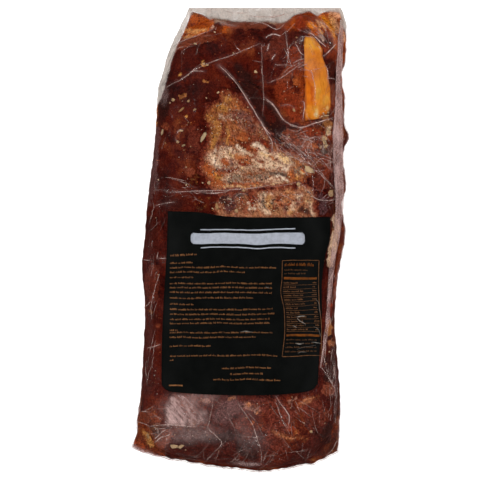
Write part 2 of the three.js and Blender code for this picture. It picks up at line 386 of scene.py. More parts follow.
def grid_faces(columns, rows, first=0):
    """One quad for each cell of a grid, facing up."""
    a = first + np.arange(rows)[:, None] * (columns + 1) + np.arange(columns)
    return np.stack([a, a + 1, a + columns + 2, a + columns + 1], -1).reshape(-1, 4)


def border_loop(columns, rows):
    """Point numbers once round a grid's border, anticlockwise from above."""
    step = columns + 1
    foot = np.arange(columns)
    right = columns + step * np.arange(rows)
    head = step * rows + np.arange(columns, 0, -1)
    left = step * np.arange(rows, 0, -1)
    return np.concatenate([foot, right, head, left])


def band_faces(upper, lower):
    """One quad for each step between two loops of equal length."""
    return np.stack([upper, lower, np.roll(lower, -1), np.roll(upper, -1)], -1)


def envelope(top, under, fill):
    """A closed body: a grid over the meat's back, loops out over the bag's lip as far as a share of its
    width, back in under it, and down a quarter round to the flat. The share is fill of the place and the
    width."""
    across = rim_shares(BAG_WIDTH, MIDDLE_COLUMNS)
    along = rim_shares(LENGTH, MIDDLE_ROWS)
    u, v = grid_points(across, along)
    x, y = slide_in(*meat_point(u, v))
    border = border_loop(len(across) - 1, len(along) - 1)
    bag_x, bag_y = bag_point(u[border], v[border])
    reach = fill(x[border], y[border], np.hypot(bag_x - x[border], bag_y - y[border]))
    points = [np.stack([x, y, top(x, y)], -1)]
    faces = [grid_faces(len(across) - 1, len(along) - 1)]
    count = len(x)
    loop = border
    for height, rows in ((top, np.arange(1, LIP_ROWS + 1)), (under, np.arange(LIP_ROWS, 0, -1))):
        for row in rows:
            lip_x = lerp(x[border], bag_x, reach * row / LIP_ROWS)
            lip_y = lerp(y[border], bag_y, reach * row / LIP_ROWS)
            points.append(np.stack([lip_x, lip_y, height(lip_x, lip_y)], -1))
            lower = count + np.arange(len(border))
            faces.append(band_faces(loop, lower))
            loop = lower
            count += len(border)
    for row in range(UNDER_ROWS + 1):
        inward = UNDER_ROUND / BAG_WIDTH * (1 - math.cos(math.pi / 2 * row / UNDER_ROWS))
        endward = inward * BAG_WIDTH / LENGTH
        under_x, under_y = slide_in(
            *meat_point(lerp(inward, 1 - inward, u[border]), lerp(endward, 1 - endward, v[border])))
        points.append(np.stack([under_x, under_y, under(under_x, under_y)], -1))
        lower = count + np.arange(len(border))
        faces.append(band_faces(loop, lower))
        loop = lower
        count += len(border)
    return np.concatenate(points), np.concatenate(faces).tolist() + [loop[::-1].tolist()]


def plan_grid(outline, columns, rows):
    """Plan points of an even grid within four edges: left and right by y, foot and head by share across."""
    left, right, foot, head = outline
    u, v = grid_points(np.linspace(0, 1, columns + 1), np.linspace(0, 1, rows + 1))
    y = lerp(smooth(foot, u), smooth(head, u), v)
    return lerp(smooth(left, y), smooth(right, y), u), y


def sheet_between(x, y, top, bottom, columns, rows):
    """A closed sheet over a plan grid, between two heights."""
    border = border_loop(columns, rows)
    points = np.concatenate([np.stack([x, y, top], -1), np.stack([x, y, bottom], -1)])
    faces = np.concatenate([
        grid_faces(columns, rows),
        grid_faces(columns, rows, len(x))[:, ::-1],
        band_faces(border, border + len(x)),
    ])
    return points, faces.tolist()


# Materials


class Paint:
    """One node material. Each method adds a node and gives back its output socket."""

    def __init__(self, name):
        self.material = bpy.data.materials.new(name)
        self.material.use_nodes = True
        self.tree = self.material.node_tree
        self.tree.nodes.clear()
        self.place = self.node("ShaderNodeTexCoord").outputs["Object"]

    def node(self, kind, settings=None, **inputs):
        made = self.tree.nodes.new(kind)
        for key, value in (settings or {}).items():
            setattr(made, key, value)
        for key, value in inputs.items():
            self.feed(made.inputs[key.replace("_", " ")], value)
        return made

    def feed(self, socket, value):
        if isinstance(value, bpy.types.NodeSocket):
            self.tree.links.new(value, socket)
        elif isinstance(value, tuple) and len(value) == 3 and socket.type == "RGBA":
            socket.default_value = (*value, 1)
        else:
            socket.default_value = value

    def noise(self, grain, detail=4, roughness=0.6, distortion=0.0, stretch=(1, 1, 1), turn=0):
        """Noise whose largest features are about grain millimetres, drawn out along an axis where its
        stretch is under 1, that axis first turned by so many degrees."""
        place = self.node("ShaderNodeMapping", Vector=self.place,
                          Rotation=(0, 0, math.radians(turn))).outputs[0]
        place = self.node("ShaderNodeMapping", Vector=place, Scale=stretch).outputs[0]
        return self.node("ShaderNodeTexNoise", Vector=place, Scale=1 / (grain * MM), Detail=detail,
                         Roughness=roughness, Distortion=distortion).outputs["Fac"]

    def lines(self, grain, width, distortion=1.0, stretch=(1, 1, 1)):
        """Thin lines along the middle contour of a noise, from 0 beside them to 1 on them."""
        value = self.noise(grain, detail=2, roughness=0.5, distortion=distortion, stretch=stretch)
        return self.step(self.math("ABSOLUTE", self.math("SUBTRACT", value, 0.5)), width, 0.0)

    def cells(self, grain):
        """The distance from the nearest of scattered points about grain millimetres apart, in those
        units."""
        made = self.node("ShaderNodeTexVoronoi", Vector=self.place, Scale=1 / (grain * MM))
        return made.outputs["Distance"]

    def blend(self, *parts):
        """The sum of weighted values, each measured from its middle of 0.5, about 0.5."""
        total = 0.5
        for value, weight in parts:
            total = self.plus(total, self.times(self.math("SUBTRACT", value, 0.5), weight))
        return total

    def field(self, name, output="Fac"):
        return self.node("ShaderNodeAttribute", {"attribute_name": name}).outputs[output]

    def math(self, operation, a, b=0.0, clamp=False):
        made = self.node("ShaderNodeMath", {"operation": operation, "use_clamp": clamp})
        self.feed(made.inputs[0], a)
        self.feed(made.inputs[1], b)
        return made.outputs[0]

    def plus(self, a, b):
        return self.math("ADD", a, b)

    def times(self, a, b):
        return self.math("MULTIPLY", a, b)

    def between(self, share, a, b):
        """The value a, or b by its share."""
        return self.plus(self.times(a, self.math("SUBTRACT", 1.0, share)), self.times(b, share))

    def step(self, value, low, high, to_low=0.0, to_high=1.0):
        """A smooth step of a value between two limits."""
        made = self.node("ShaderNodeMapRange", {"interpolation_type": "SMOOTHSTEP"})
        for index, item in enumerate((value, low, high, to_low, to_high)):
            self.feed(made.inputs[index], item)
        return made.outputs[0]

    def ramp(self, value, stops):
        """A colour ramp through (place, colour) stops."""
        made = self.node("ShaderNodeValToRGB", Fac=value)
        elements = made.color_ramp.elements
        for place, colour in stops[2:]:
            elements.new(place)
        for element, (place, colour) in zip(elements, stops):
            element.position = place
            element.color = (*colour, 1)
        return made.outputs["Color"]

    def shades(self, value, pair, middle=1.0):
        """A colour to multiply by: the pair's first at low values, its second at high ones, plain
        between."""
        dark, light = pair
        return self.ramp(value, [(0.3, dark), (0.5, (middle, middle, middle)), (0.7, light)])

    def mix(self, share, a, b, blend="MIX"):
        """The colour a, or b by its share."""
        made = self.node("ShaderNodeMix", {"data_type": "RGBA", "blend_type": blend})
        self.feed(made.inputs[0], share)
        self.feed(made.inputs[6], a)
        self.feed(made.inputs[7], b)
        return made.outputs[2]

    def bump(self, height, depth):
        """A normal from a height from 0 to 1, depth millimetres deep."""
        made = self.node("ShaderNodeBump", Height=height, Distance=depth * MM, Strength=1.0)
        return made.outputs["Normal"]

    def principled(self, **inputs):
        return self.node("ShaderNodeBsdfPrincipled", **inputs).outputs["BSDF"]

    def mix_shaders(self, share, a, b):
        made = self.node("ShaderNodeMixShader", Fac=share)
        self.feed(made.inputs[1], a)
        self.feed(made.inputs[2], b)
        return made.outputs[0]

    def surface(self, colour, roughness, specular, **inputs):
        """The whole material, as a plain surface of that colour, roughness and specular level."""
        look = {"Base_Color": colour, "Roughness": roughness, "Specular_IOR_Level": specular}
        return self.finish(self.principled(**look, **inputs))

    def finish(self, shader):
        output = self.node("ShaderNodeOutputMaterial")
        self.tree.links.new(shader, output.inputs["Surface"])
        return self.material


# Colours are linear
DARK_MEAT = (0.020, 0.0062, 0.0052)
MEAT_DEEP = (0.018, 0.0018, 0.0012)
MEAT = (0.057, 0.0050, 0.0026)
MEAT_WARM = (0.112, 0.0135, 0.0045)
RUST = (0.215, 0.046, 0.012)
TAN = (0.36, 0.155, 0.066)
RED_RUST = (0.27, 0.056, 0.014)
GOLD_BROWN = (0.29, 0.092, 0.022)
GOLD = (0.45, 0.20, 0.062)
MEAT_RED = (0.115, 0.017, 0.006)
HOLE = (0.045, 0.012, 0.008)
CREAM = (0.56, 0.345, 0.215)
PALE_CREAM = (0.66, 0.47, 0.33)
JUICE_DEEP = (0.20, 0.026, 0.003)
JUICE = (0.33, 0.056, 0.004)
JUICE_BRIGHT = (0.48, 0.115, 0.008)
JUICE_PALE = (0.62, 0.25, 0.05)
PINK_MILK = (0.66, 0.43, 0.40)
PALE_MILK = (0.61, 0.53, 0.475)
# The folds' paler milk is partly a painted highlight
FOLD_MILK_AND_HIGHLIGHT = (0.78, 0.56, 0.50)
COPPER_THIN = (0.10, 0.040, 0.016)
COPPER_INK = (0.34, 0.138, 0.048)
ORANGE_THIN = (0.10, 0.024, 0.001)
ORANGE_INK = (0.25, 0.064, 0.002)
PALE_THIN = (0.36, 0.38, 0.44)
PALE_INK = (0.46, 0.49, 0.56)
# Pale ink that paints the highlights on the sticker's creases
CREASE_HIGHLIGHT_THIN = (0.12, 0.105, 0.09)
CREASE_HIGHLIGHT_INK = (0.42, 0.38, 0.34)

# Film: where the header's paler milk begins and is full, and the most that it mirrors
HEADER_MILK_FROM = 170
HEADER_MILK_FULL = 178
FRESNEL_MOST = 0.10

# Brightness of ink whose press is 0, as a share
FAINT_INK = 0.12

# What a colour is multiplied by at the low and at the high end of its grain
MARK_SHADES = ((0.42, 0.36, 0.34), (1.6, 1.68, 1.76))
SPECKLE_SHADES = ((0.60, 0.56, 0.54), (1.45, 1.55, 1.6))
COARSE_SHADES = ((0.62, 0.58, 0.56), (1.5, 1.62, 1.7))
FAT_SHADES = ((0.74, 0.62, 0.45), (1.16, 1.28, 1.6))

# Headings in degrees: brush marks in the foot's painted sheen, strands of the crust, and the two amber fans
SHEEN_HEADING = -48
STRAND_HEADING = -62
LEFT_FAN_HEADING = 18
RIGHT_FAN_HEADING = -52


def thin_spice(p, grain):
    """Thin spice on the meat: one mottled tone read through a rusty ramp, and a pale one where the field
    cream lies."""
    tone = p.blend((p.noise(6, detail=3, roughness=0.55, distortion=0.7), 1.25),
                   (p.noise(2.4, detail=4, roughness=0.6, distortion=0.5), 1.0), (grain, 0.35))
    colour = p.ramp(tone, [(0.22, HOLE), (0.34, MEAT_RED), (0.46, RUST), (0.60, GOLD_BROWN), (0.76, GOLD)])
    pale = p.ramp(tone, [(0.18, HOLE), (0.28, MEAT_RED), (0.37, RED_RUST), (0.45, GOLD), (0.54, CREAM),
                         (0.74, PALE_CREAM)])
    wander = p.noise(7, detail=4, roughness=0.65, distortion=0.6)
    return p.mix(p.step(p.blend((p.field("cream"), 1.0), (wander, 1.0)), 0.25, 0.75), colour, pale)


def lean_colour(p, broad, grain):
    """Dark lean meat along its fibres, warmer and lighter where the field warm says, and its tone."""
    fibre = p.noise(4.5, detail=5, roughness=0.65, distortion=0.8, stretch=(1, 0.3, 1))
    tone = p.blend((broad, 0.8), (fibre, 0.4), (grain, 0.35))
    lean = p.ramp(tone, [(0.34, MEAT_DEEP), (0.48, MEAT), (0.68, MEAT_WARM)])
    warm = p.ramp(tone, [(0.32, MEAT), (0.46, MEAT_WARM), (0.66, RUST)])
    return p.mix(p.step(p.blend((p.field("warm"), 1.0), (broad, 1.0)), 0.25, 0.85), lean, warm), tone


def marked_colour(p, ground, tone, grain, fine):
    """The painted marks, kept as the colour field tint, shaded by tone and grain where the field marked
    holds, and less so where the field even does."""
    share = p.step(p.blend((p.field("marked"), 1.0), (grain, 0.8), (fine, 0.5)), 0.25, 0.75)
    shade = p.shades(p.blend((tone, 0.7), (grain, 0.8), (fine, 1.1)), MARK_SHADES)
    shade = p.mix(p.field("even"), shade, (1.0, 1.0, 1.0))
    return p.mix(share, ground, p.mix(1.0, p.field("tint", "Color"), shade, "MULTIPLY"))


def amber_juice(p, small, broad):
    """Clear amber juice in two fans, one each side of the spine, drawn out along their own headings."""
    fan = {"detail": 4, "roughness": 0.6, "distortion": 0.5}
    left_fan = p.noise(5, stretch=(0.22, 1, 1), turn=-LEFT_FAN_HEADING, **fan)
    right_fan = p.noise(5, stretch=(0.3, 1, 1), turn=-RIGHT_FAN_HEADING, **fan)
    across = p.node("ShaderNodeSeparateXYZ", Vector=p.place).outputs["X"]
    fan = p.mix(p.step(across, 0.0, 0.01), left_fan, right_fan)
    return p.ramp(p.blend((fan, 0.9), (small, 0.5), (broad, 0.6)), [
        (0.30, JUICE_DEEP), (0.48, JUICE), (0.60, JUICE_BRIGHT), (0.72, JUICE_PALE)])


def roast_paint():
    """Dark lean meat, warmer where moist, under thin spice of rust, tan and cream, amber juice and its
    marks."""
    p = Paint("roast_meat")
    broad = p.noise(24, detail=5, roughness=0.62, distortion=0.6)
    small = p.noise(6, detail=5, roughness=0.68, distortion=1.0)
    grain = p.noise(2.3, detail=5, roughness=0.75, distortion=0.6)
    fine = p.noise(0.9, detail=2)
    colour, tone = lean_colour(p, broad, grain)
    # Darker by the field dark: painted shade along the deep fold, and darker in spots
    colour = p.mix(p.times(p.field("dark"), 0.9), colour, DARK_MEAT)

    spice = p.noise(4.2, detail=6, roughness=0.7, distortion=2.2)
    edge = p.blend((p.field("crust"), 1.0), (small, 0.9), (spice, 0.7))
    colour = p.mix(p.step(edge, 0.2, 0.85), colour, thin_spice(p, grain))
    colour = p.mix(p.field("juice"), colour, amber_juice(p, small, broad))

    speckle = p.shades(p.blend((fine, 1.3), (grain, 0.5)), SPECKLE_SHADES)
    colour = marked_colour(p, p.mix(1.0, colour, speckle, "MULTIPLY"), tone, grain, fine)
    coarse = p.shades(p.blend((grain, 1.3), (fine, 0.8)), COARSE_SHADES, 1.02)
    colour = p.mix(p.field("grainy"), colour, p.mix(1.0, colour, coarse, "MULTIPLY"))
    fleck = p.times(p.step(p.cells(2.6), 0.16, 0.10), p.step(p.noise(9, detail=2), 0.54, 0.64))
    colour = p.mix(p.times(fleck, 0.6), colour, TAN)
    rough = p.step(p.field("crust"), 0.0, 1.0, 0.36, 0.6)
    return p.surface(colour, rough, 0.01, Normal=p.bump(p.blend((small, 0.6), (grain, 0.6)), 0.5))


def fat_paint():
    """Waxy orange fat: its painted marks, kept as the colour field tint, softly mottled along the strip."""
    p = Paint("roast_fat")
    soft = p.noise(9, detail=4, roughness=0.55, distortion=0.5, stretch=(1, 0.5, 1))
    fine = p.noise(2.2, detail=4, roughness=0.7, stretch=(1, 0.4, 1))
    shade = p.shades(p.blend((soft, 0.8), (fine, 0.7)), FAT_SHADES)
    colour = p.mix(1.0, p.field("tint", "Color"), shade, "MULTIPLY")
    return p.surface(colour, 0.45, 0.02, Normal=p.bump(fine, 0.2))


def spice_paint():
    """The crust: its marks under a salt and pepper grain, worn through to lean meat towards its edge."""
    p = Paint("spice_crust")
    broad = p.noise(24, detail=5, roughness=0.62, distortion=0.6)
    turn = -STRAND_HEADING
    grain = p.noise(1.5, detail=4, roughness=0.75, distortion=0.6, stretch=(0.45, 1, 1), turn=turn)
    fine = p.noise(0.9, detail=2, stretch=(0.6, 1, 1), turn=turn)
    lean, _ = lean_colour(p, broad, p.noise(2.3, detail=5, roughness=0.75, distortion=0.6))
    speckle = p.shades(p.blend((fine, 1.3), (grain, 0.5)), SPECKLE_SHADES)
    colour = marked_colour(p, p.mix(1.0, lean, speckle, "MULTIPLY"), 0.5, grain, fine)
    return p.surface(colour, 0.6, 0.02, Normal=p.bump(grain, 0.35))


def flake_paint(name, dark, light):
    """Dry bits, each its own shade by a random number kept on its points."""
    p = Paint(name)
    tone = p.plus(p.times(p.field("shade"), 0.7), p.times(p.noise(1.2), 0.3))
    return p.surface(p.ramp(tone, [(0.1, dark), (0.9, light)]), 0.5, 0.05)


def film_milk(p, bare, normal):
    """The milky part of the film: pink over the meat, pale where it is bare, paler on folds, partly as
    painted highlight.
    """
    tone = p.mix(bare, PINK_MILK, PALE_MILK)
    tone = p.mix(p.step(p.field("shine"), 0.1, 0.25), tone, FOLD_MILK_AND_HIGHLIGHT)
    return p.principled(Base_Color=tone, Roughness=0.5, Normal=normal, Specular_IOR_Level=0.02)


def film_cloud(p, bare):
    """How milky the film is: the field haze, broken up by streaks and a fine grain that is brushed where
    the field smear, the painted sheen over the foot crease, holds and calmer on bare film."""
    streaks = p.noise(7, detail=5, roughness=0.7, distortion=1.0, stretch=(1, 0.5, 1))
    grain = p.noise(1.3, detail=4, roughness=0.8, distortion=0.5)
    brush = p.noise(2.4, detail=4, roughness=0.65, distortion=0.3, stretch=(0.2, 1, 1), turn=-SHEEN_HEADING)
    mottled = p.step(grain, 0.3, 0.7, 0.58, 1.42)
    brushed = p.step(brush, 0.3, 0.7, 0.45, 1.5)
    fine = p.between(p.field("smear"), mottled, brushed)
    fine = p.between(p.times(bare, 0.6), fine, 1.0)
    cloud = p.times(p.step(streaks, 0.3, 0.75, 0.55, 1.35), fine)
    return p.math("MULTIPLY", p.field("haze"), cloud, clamp=True)


def film_paint():
    """Clear film: see-through, milky by the field haze, which also carries painted sheen and highlights,
    and glossy by Fresnel over fine crackle, most on folds."""
    p = Paint("bag_film")
    long_lines = p.lines(16, 0.030, distortion=1.0, stretch=(1, 0.6, 1))
    short_lines = p.lines(6, 0.045, distortion=1.6, stretch=(0.7, 1, 1))
    crackle = p.math("MAXIMUM", long_lines, p.times(short_lines, p.step(p.noise(21, detail=2), 0.42, 0.62)))
    normal = p.bump(p.plus(p.times(crackle, 0.8), p.times(p.noise(3.5, detail=3), 0.25)), 0.22)
    along = p.node("ShaderNodeSeparateXYZ", Vector=p.place).outputs["Y"]
    bare = p.math("MAXIMUM", p.step(along, HEADER_MILK_FROM * MM, HEADER_MILK_FULL * MM), p.field("bare"))
    clear = p.node("ShaderNodeBsdfTransparent", Color=(0.98, 0.97, 0.96, 1)).outputs[0]
    body = p.mix_shaders(film_cloud(p, bare), clear, film_milk(p, bare, normal))
    gloss = p.node("ShaderNodeBsdfGlossy", Color=(1, 1, 1, 1), Roughness=0.16, Normal=normal).outputs[0]
    fresnel = p.node("ShaderNodeFresnel", IOR=1.5, Normal=normal).outputs[0]
    fresnel = p.math("MINIMUM", fresnel, FRESNEL_MOST)
    shine = p.math("MAXIMUM", p.field("shine"), p.times(crackle, 0.25))
    return p.finish(p.mix_shaders(p.times(fresnel, p.step(shine, 0.0, 1.0, 0.008, 1.0)), body, gloss))


def label_paint():
    """Black satin sticker, a shade greyer where the print run is thin, with a faint grain."""
    p = Paint("label_sheet")
    mottle = p.noise(11, detail=4)
    colour = p.ramp(mottle, [(0.3, (0.0026, 0.0030, 0.0028)), (0.7, (0.0042, 0.0047, 0.0043))])
    normal = p.bump(p.noise(0.8, detail=3), 0.02)
    return p.surface(colour, p.step(mottle, 0.3, 0.7, 0.42, 0.5), 0.02, Normal=normal)


def ink_paint(name, thin, full):
    """Flat ink, thinner here and there, orange where the field orange says so, and weaker where the field
    press is low."""
    p = Paint(name)
    run = p.noise(3.5, detail=5, roughness=0.7)
    colour = p.ramp(run, [(0.35, thin), (0.6, full)])
    colour = p.mix(p.field("orange"), colour, p.ramp(run, [(0.35, ORANGE_THIN), (0.6, ORANGE_INK)]))
    faint = tuple(FAINT_INK * part for part in full)
    return p.surface(p.mix(p.field("press"), faint, colour), 0.5, 0.1)


# Where the finishes of the roast lie, in plan. An outline is a ring of corners, a line has a half width at
# each corner, and a spot is a place, its reach, its turn and its strength

CRUST_OUTLINE = [
    (-11, 122), (-27, 107), (-29, 98), (-24, 88), (-30, 73), (-33, 61), (-30, 51), (-22, 40), (9, 40),
    (50, 45), (61, 54), (58, 65), (43, 73), (29, 81), (18, 93), (8, 106), (0, 118),
]
LOW_CRUST_OUTLINE = [
    (-17, 39), (6, 40), (50, 45), (60, 42), (63, 36), (62, 28), (65, 20), (70, 10), (-20, 16), (-20, 28),
]
# Painted shade along the hollow of the deep fold
FOLD_SHADE_LINE = [
    (-3, 142, 3), (6, 130, 6), (13, 112, 5.5), (22, 104, 8.5), (27, 96, 8), (34, 89, 6), (41, 82, 2),
]
SEAM_GREASE_LINE = [(77.5, 20, 2), (78, 8, 3), (76, -8, 3), (73.5, -18, 1.5)]
LEFT_JUICE_OUTLINE = [
    (-40, 192), (-27, 187), (-21, 179), (-22, 173), (-33, 168), (-50, 159), (-58, 152), (-58, 170),
]
RIGHT_JUICE_OUTLINE = [
    (35, 177), (43, 183), (50, 192), (92, 192), (92, 150), (79, 156), (68, 166), (52, 169), (43, 171),
]
FAINT_CRUST_SPOTS = [
    ((-38, 52), (10, 12), 0, 0.35), ((-46, 88), (12, 14), 0, 0.22), ((-28, 30), (12, 8), 0, 0.3),
    ((68, 92), (9, 10), 0, 0.42), ((66, 62), (8, 8), 0, 0.35), ((58, -129), (20, 5), 12, 0.2),
    ((16, -134), (12, 8), 0, 0.3), ((-6, -124), (14, 6), 0, 0.3), ((50, -160), (20, 4), -14, 0.25),
    ((-38, -152), (20, 10), 0, 0.3), ((-70, -158), (8, 12), 0, 0.35),
]
FAINT_CREAM_SPOTS = [
    ((32, 29), (34, 9), 0, 0.5), ((-10, 92), (10, 14), 0, 0.22), ((-10, 108), (9, 9), 0, 0.30),
    ((56, 36), (16, 8), 0, 0.6), ((66, 98), (6, 4), 0, 0.6), ((74, 92), (3, 8), 0, 0.5),
]
DARK_SPOTS = [
    ((-61, 122), (7, 18), -10, 0.75), ((-36, 122), (22, 8), 20, 0.5), ((-24, 112), (6, 10), 0, 0.3),
    ((-38, -163), (28, 7), 0, 0.55), ((4, -162), (20, 9), -20, 0.65), ((66, -166), (14, 8), 20, 0.55),
    ((42, 156), (10, 5), 30, 0.45), ((70, 26), (7, 6), 0, 0.6), ((72, 74), (6, 7), 0, 0.3),
    ((74, -60), (5, 60), 0, 0.3), ((-62, 50), (7, 14), 0, 0.4), ((-54, 30), (12, 7), 0, 0.7),
    ((-66, 100), (4, 20), 0, 0.6),
]
WARM_SPOTS = [
    ((40, 112), (17, 17), 0, 1.0), ((48, 98), (12, 10), 0, 0.9), ((-50, 82), (16, 20), 0, 0.5),
    ((45, -145), (36, 30), 0, 0.5), ((-40, 60), (16, 16), 0, 0.6), ((60, 72), (20, 24), 0, 1.0),
    ((4, 160), (34, 16), 0, 0.55), ((-76, -150), (10, 16), 0, 0.8), ((-72, -60), (5, 70), 0, 0.35),
    ((-46, -140), (24, 18), 0, 0.5), ((80, 120), (8, 40), 0, 0.9), ((-20, 168), (14, 8), 0, 0.9),
]
GRAINY_SPOTS = [
    ((0, -155), (96, 36), 0, 1.0), ((56, 74), (26, 22), 0, 1.0), ((66, 30), (16, 18), 0, 1.0),
]
JUICE_SPOTS = [
    ((-12, 172), (4, 3), 20, 0.25), ((-68, 108), (1.4, 16), 0, 0.8), ((-82, -160), (7, 10), 0, 0.65),
    ((76, -172), (9, 6), 0, 0.4), ((82, 136), (4, 20), 0, 0.4),
]
# Milky film in spots; those over the foot crease and on the header's edge are painted sheen and highlights
HAZE_AND_SHEEN_SPOTS = [
    ((-44, -137), (20, 13), 8, 0.2), ((-32, -128), (16, 8), 0, 0.22), ((6, -158), (18, 12), -30, 0.12),
    ((-40, -157), (26, 8), 0, 0.25), ((54, 74), (20, 14), -30, 0.03), ((78.5, -125), (1.3, 42), 0, 0.28),
    ((-76, -50), (4, 60), 0, 0.03), ((-63, 118), (3, 8), 0, 0.14), ((-12, -138), (14, 14), 0, 0.09),
    ((5, -141), (10, 10), 0, 0.1), ((6, -183), (11, 2.4), -4, 0.45), ((-64, -163), (9, 8), 0, 0.12),
    ((-69, 62), (2, 20), 0, 0.12), ((80, 172), (6, 14), 0, 0.36), ((72, 180), (10, 5), 0, 0.3),
    ((-14, 178), (9, 3), -10, 0.35), ((60, 140), (5, 10), 0, 0.1),
]


def wandered(x, y, amount, seed):
    """Plan points moved about by noise."""
    return x + amount * fractal(x, y, 13, seed), y + amount * fractal(x, y, 13, seed + 9)


def to_segments(x, y, corners):
    """For each point and each stretch between corners: its distance, and the nearest place's share
    along."""
    ax, ay = corners[:-1, 0, None], corners[:-1, 1, None]
    dx, dy = corners[1:, 0, None] - ax, corners[1:, 1, None] - ay
    along = np.clip(((x - ax) * dx + (y - ay) * dy) / (dx * dx + dy * dy), 0, 1)
    return np.hypot(x - ax - along * dx, y - ay - along * dy), along


def depth_in(x, y, corners):
    """How far a point lies inside each stretch of a line as wide as its corners say, less than 0
    outside."""
    distance, along = to_segments(x, y, corners)
    return lerp(corners[:-1, 2, None], corners[1:, 2, None], along) - distance


def patch(x, y, outline, soft=1.2, wander=3.0, seed=0):
    """1 inside a closed outline and 0 outside, over a soft edge that wanders. A point is inside where a
    line from it crosses the outline an odd number of times."""
    x, y = wandered(x, y, wander, seed)
    ring = np.array(outline + outline[:1], float)
    distance = to_segments(x, y, ring)[0].min(0)
    ax, ay, bx, by = ring[:-1, 0, None], ring[:-1, 1, None], ring[1:, 0, None], ring[1:, 1, None]
    spans = (ay > y) != (by > y)
    rise = np.where(by == ay, 1, by - ay)
    crossed = spans & (x < ax + (y - ay) * (bx - ax) / rise)
    signed = np.where(crossed.sum(0) % 2 == 1, distance, -distance)
    return ease(-soft, soft, signed)


def stroke(x, y, line, soft=0.8, wander=1.5, seed=0):
    """1 on a line as wide as its corners say, and 0 beside it."""
    x, y = wandered(x, y, wander, seed)
    return ease(-soft, soft, depth_in(x, y, np.array(line, float)).max(0))


def spots(x, y, table, wander, seed):
    """The strongest of several spots at each point, their outlines made to wander."""
    x, y = wandered(x, y, wander, seed)
    layers = [strength * spot(x, y, place, reach, turn, 3) for place, reach, turn, strength in table]
    return np.clip(np.max(layers, axis=0), 0, 1)


def crust_cover(x, y):
    """1 where the crust is a layer of its own and 0 outside it."""
    return np.maximum(patch(x, y, CRUST_OUTLINE, 5.5, 6, 41), patch(x, y, LOW_CRUST_OUTLINE, 4, 5, 141))


def seam_grease(x, y):
    """1 on the streak of grease beside the side seam."""
    return stroke(x, y, SEAM_GREASE_LINE, 1.0, 1.5, 143)


def crust_field(x, y):
    """How thickly spice covers the meat."""
    grease = (0.6 + 0.7 * noise(x, y, 5, 144)) * seam_grease(x, y)
    return np.maximum.reduce([0.9 * crust_cover(x, y), grease, spots(x, y, FAINT_CRUST_SPOTS, 5, 145)])


def cream_field(x, y):
    """How pale the thin spice is."""
    return np.maximum(seam_grease(x, y), spots(x, y, FAINT_CREAM_SPOTS, 5, 147))


def dark_spots_and_fold_shade(x, y):
    """How dark the meat is: painted shade along the deep fold, and darker in spots."""
    band = 0.9 * stroke(x, y, FOLD_SHADE_LINE, 2.5, 3, 47)
    return np.maximum(band, spots(x, y, DARK_SPOTS, 5, 48))


def juice_field(x, y):
    """Where amber juice has gathered: in the two header corners, here and there round the rim, and in
    spots."""
    left = patch(x, y, LEFT_JUICE_OUTLINE, 1.5, 2, 61)
    right = patch(x, y, RIGHT_JUICE_OUTLINE, 2.5, 3, 63)
    rim = 0.35 * ease(0.97, 1.02, outness(x, y)) * ease(-0.2, 0.4, fractal(x, y, 18, 65))
    return np.maximum.reduce([left, right, rim, spots(x, y, JUICE_SPOTS, 4, 67)])


# The orange strip of fat: its ends, and its left and right edges
STRIP_HEAD_Y = 166
STRIP_FOOT_Y = 97
STRIP_LEFT = [(166, 53.6), (163, 52.3), (155, 51.8), (140, 52.3), (120, 53), (104, 52.4), (97, 53)]
STRIP_RIGHT = [
    (166, 59.5), (161, 63.8), (156, 66.8), (150, 67.6), (145, 68.8), (140, 71), (130, 72.4), (120, 74),
    (112, 74.3), (106, 73), (101, 69), (97, 63),
]


def inside_strip(x, y):
    """How far a point lies inside the edges of the orange strip."""
    across = np.minimum(x - smooth(STRIP_LEFT, y), smooth(STRIP_RIGHT, y) - x)
    return np.minimum(across, np.minimum(STRIP_HEAD_Y - y, y - STRIP_FOOT_Y))


def fat_strip_mask(x, y, grow=0.0):
    """1 on the strip and as far outside it as it is grown, 0 past a soft edge."""
    return ease(-1.5 - grow, 0.5 - grow, inside_strip(x, y))


def tone(red, green, blue, height=0.0):
    """Linear colour from display values from 0 to 255, and how far a mark of it stands up in
    millimetres."""
    shares = np.array([red, green, blue]) / 255
    return np.append(((shares + 0.055) / 1.055) ** 2.4, height)


TONES = {
    "dark red": tone(88, 27, 17, -0.8), "red": tone(136, 46, 22, -0.5),
    "red brown": tone(118, 55, 36, -0.2), "brown": tone(146, 86, 54), "rust": tone(154, 76, 36, 0.1),
    "orange brown": tone(168, 96, 50, 0.2), "gold brown": tone(142, 86, 45, 0.2),
    "gold": tone(178, 120, 60, 0.3), "pale gold": tone(224, 184, 130, 0.5),
    "mauve": tone(104, 64, 57, -0.2), "mauve brown": tone(126, 80, 64), "purple": tone(78, 46, 46, -0.4),
    "black brown": tone(50, 28, 26, -0.6), "shadow": tone(78, 61, 54, -0.7),
    "grey": tone(138, 119, 101, -0.1), "taupe": tone(182, 147, 121, 0.2), "cream": tone(218, 184, 152, 0.4),
    "pale cream": tone(238, 214, 188, 0.6), "meat": tone(82, 28, 17, -0.4), "maroon": tone(66, 20, 13),
    "dark maroon": tone(50, 18, 13), "purple brown": tone(84, 48, 45), "warm brown": tone(112, 50, 30),
    "deep amber": tone(126, 48, 14), "amber": tone(158, 68, 14), "bright amber": tone(216, 130, 26),
    "pale amber": tone(208, 146, 88), "lean red": tone(92, 36, 24), "warm red": tone(118, 43, 20),
    "rust red": tone(122, 40, 12), "orange": tone(188, 94, 30), "peach": tone(196, 138, 100),
    "pink": tone(212, 176, 156), "tan film": tone(152, 116, 94), "fat": tone(214, 122, 32),
    "tan fat": tone(206, 124, 46), "deep fat": tone(206, 102, 14), "burnt fat": tone(182, 74, 8),
    "brown fat": tone(158, 76, 28), "yellow fat": tone(216, 146, 50), "gold fat": tone(222, 136, 38),
    "pale fat": tone(228, 184, 112), "white fat": tone(236, 214, 172),
}
# How much of a mark's tone covers what is under it, at the most
PAINT_FULL = 0.9
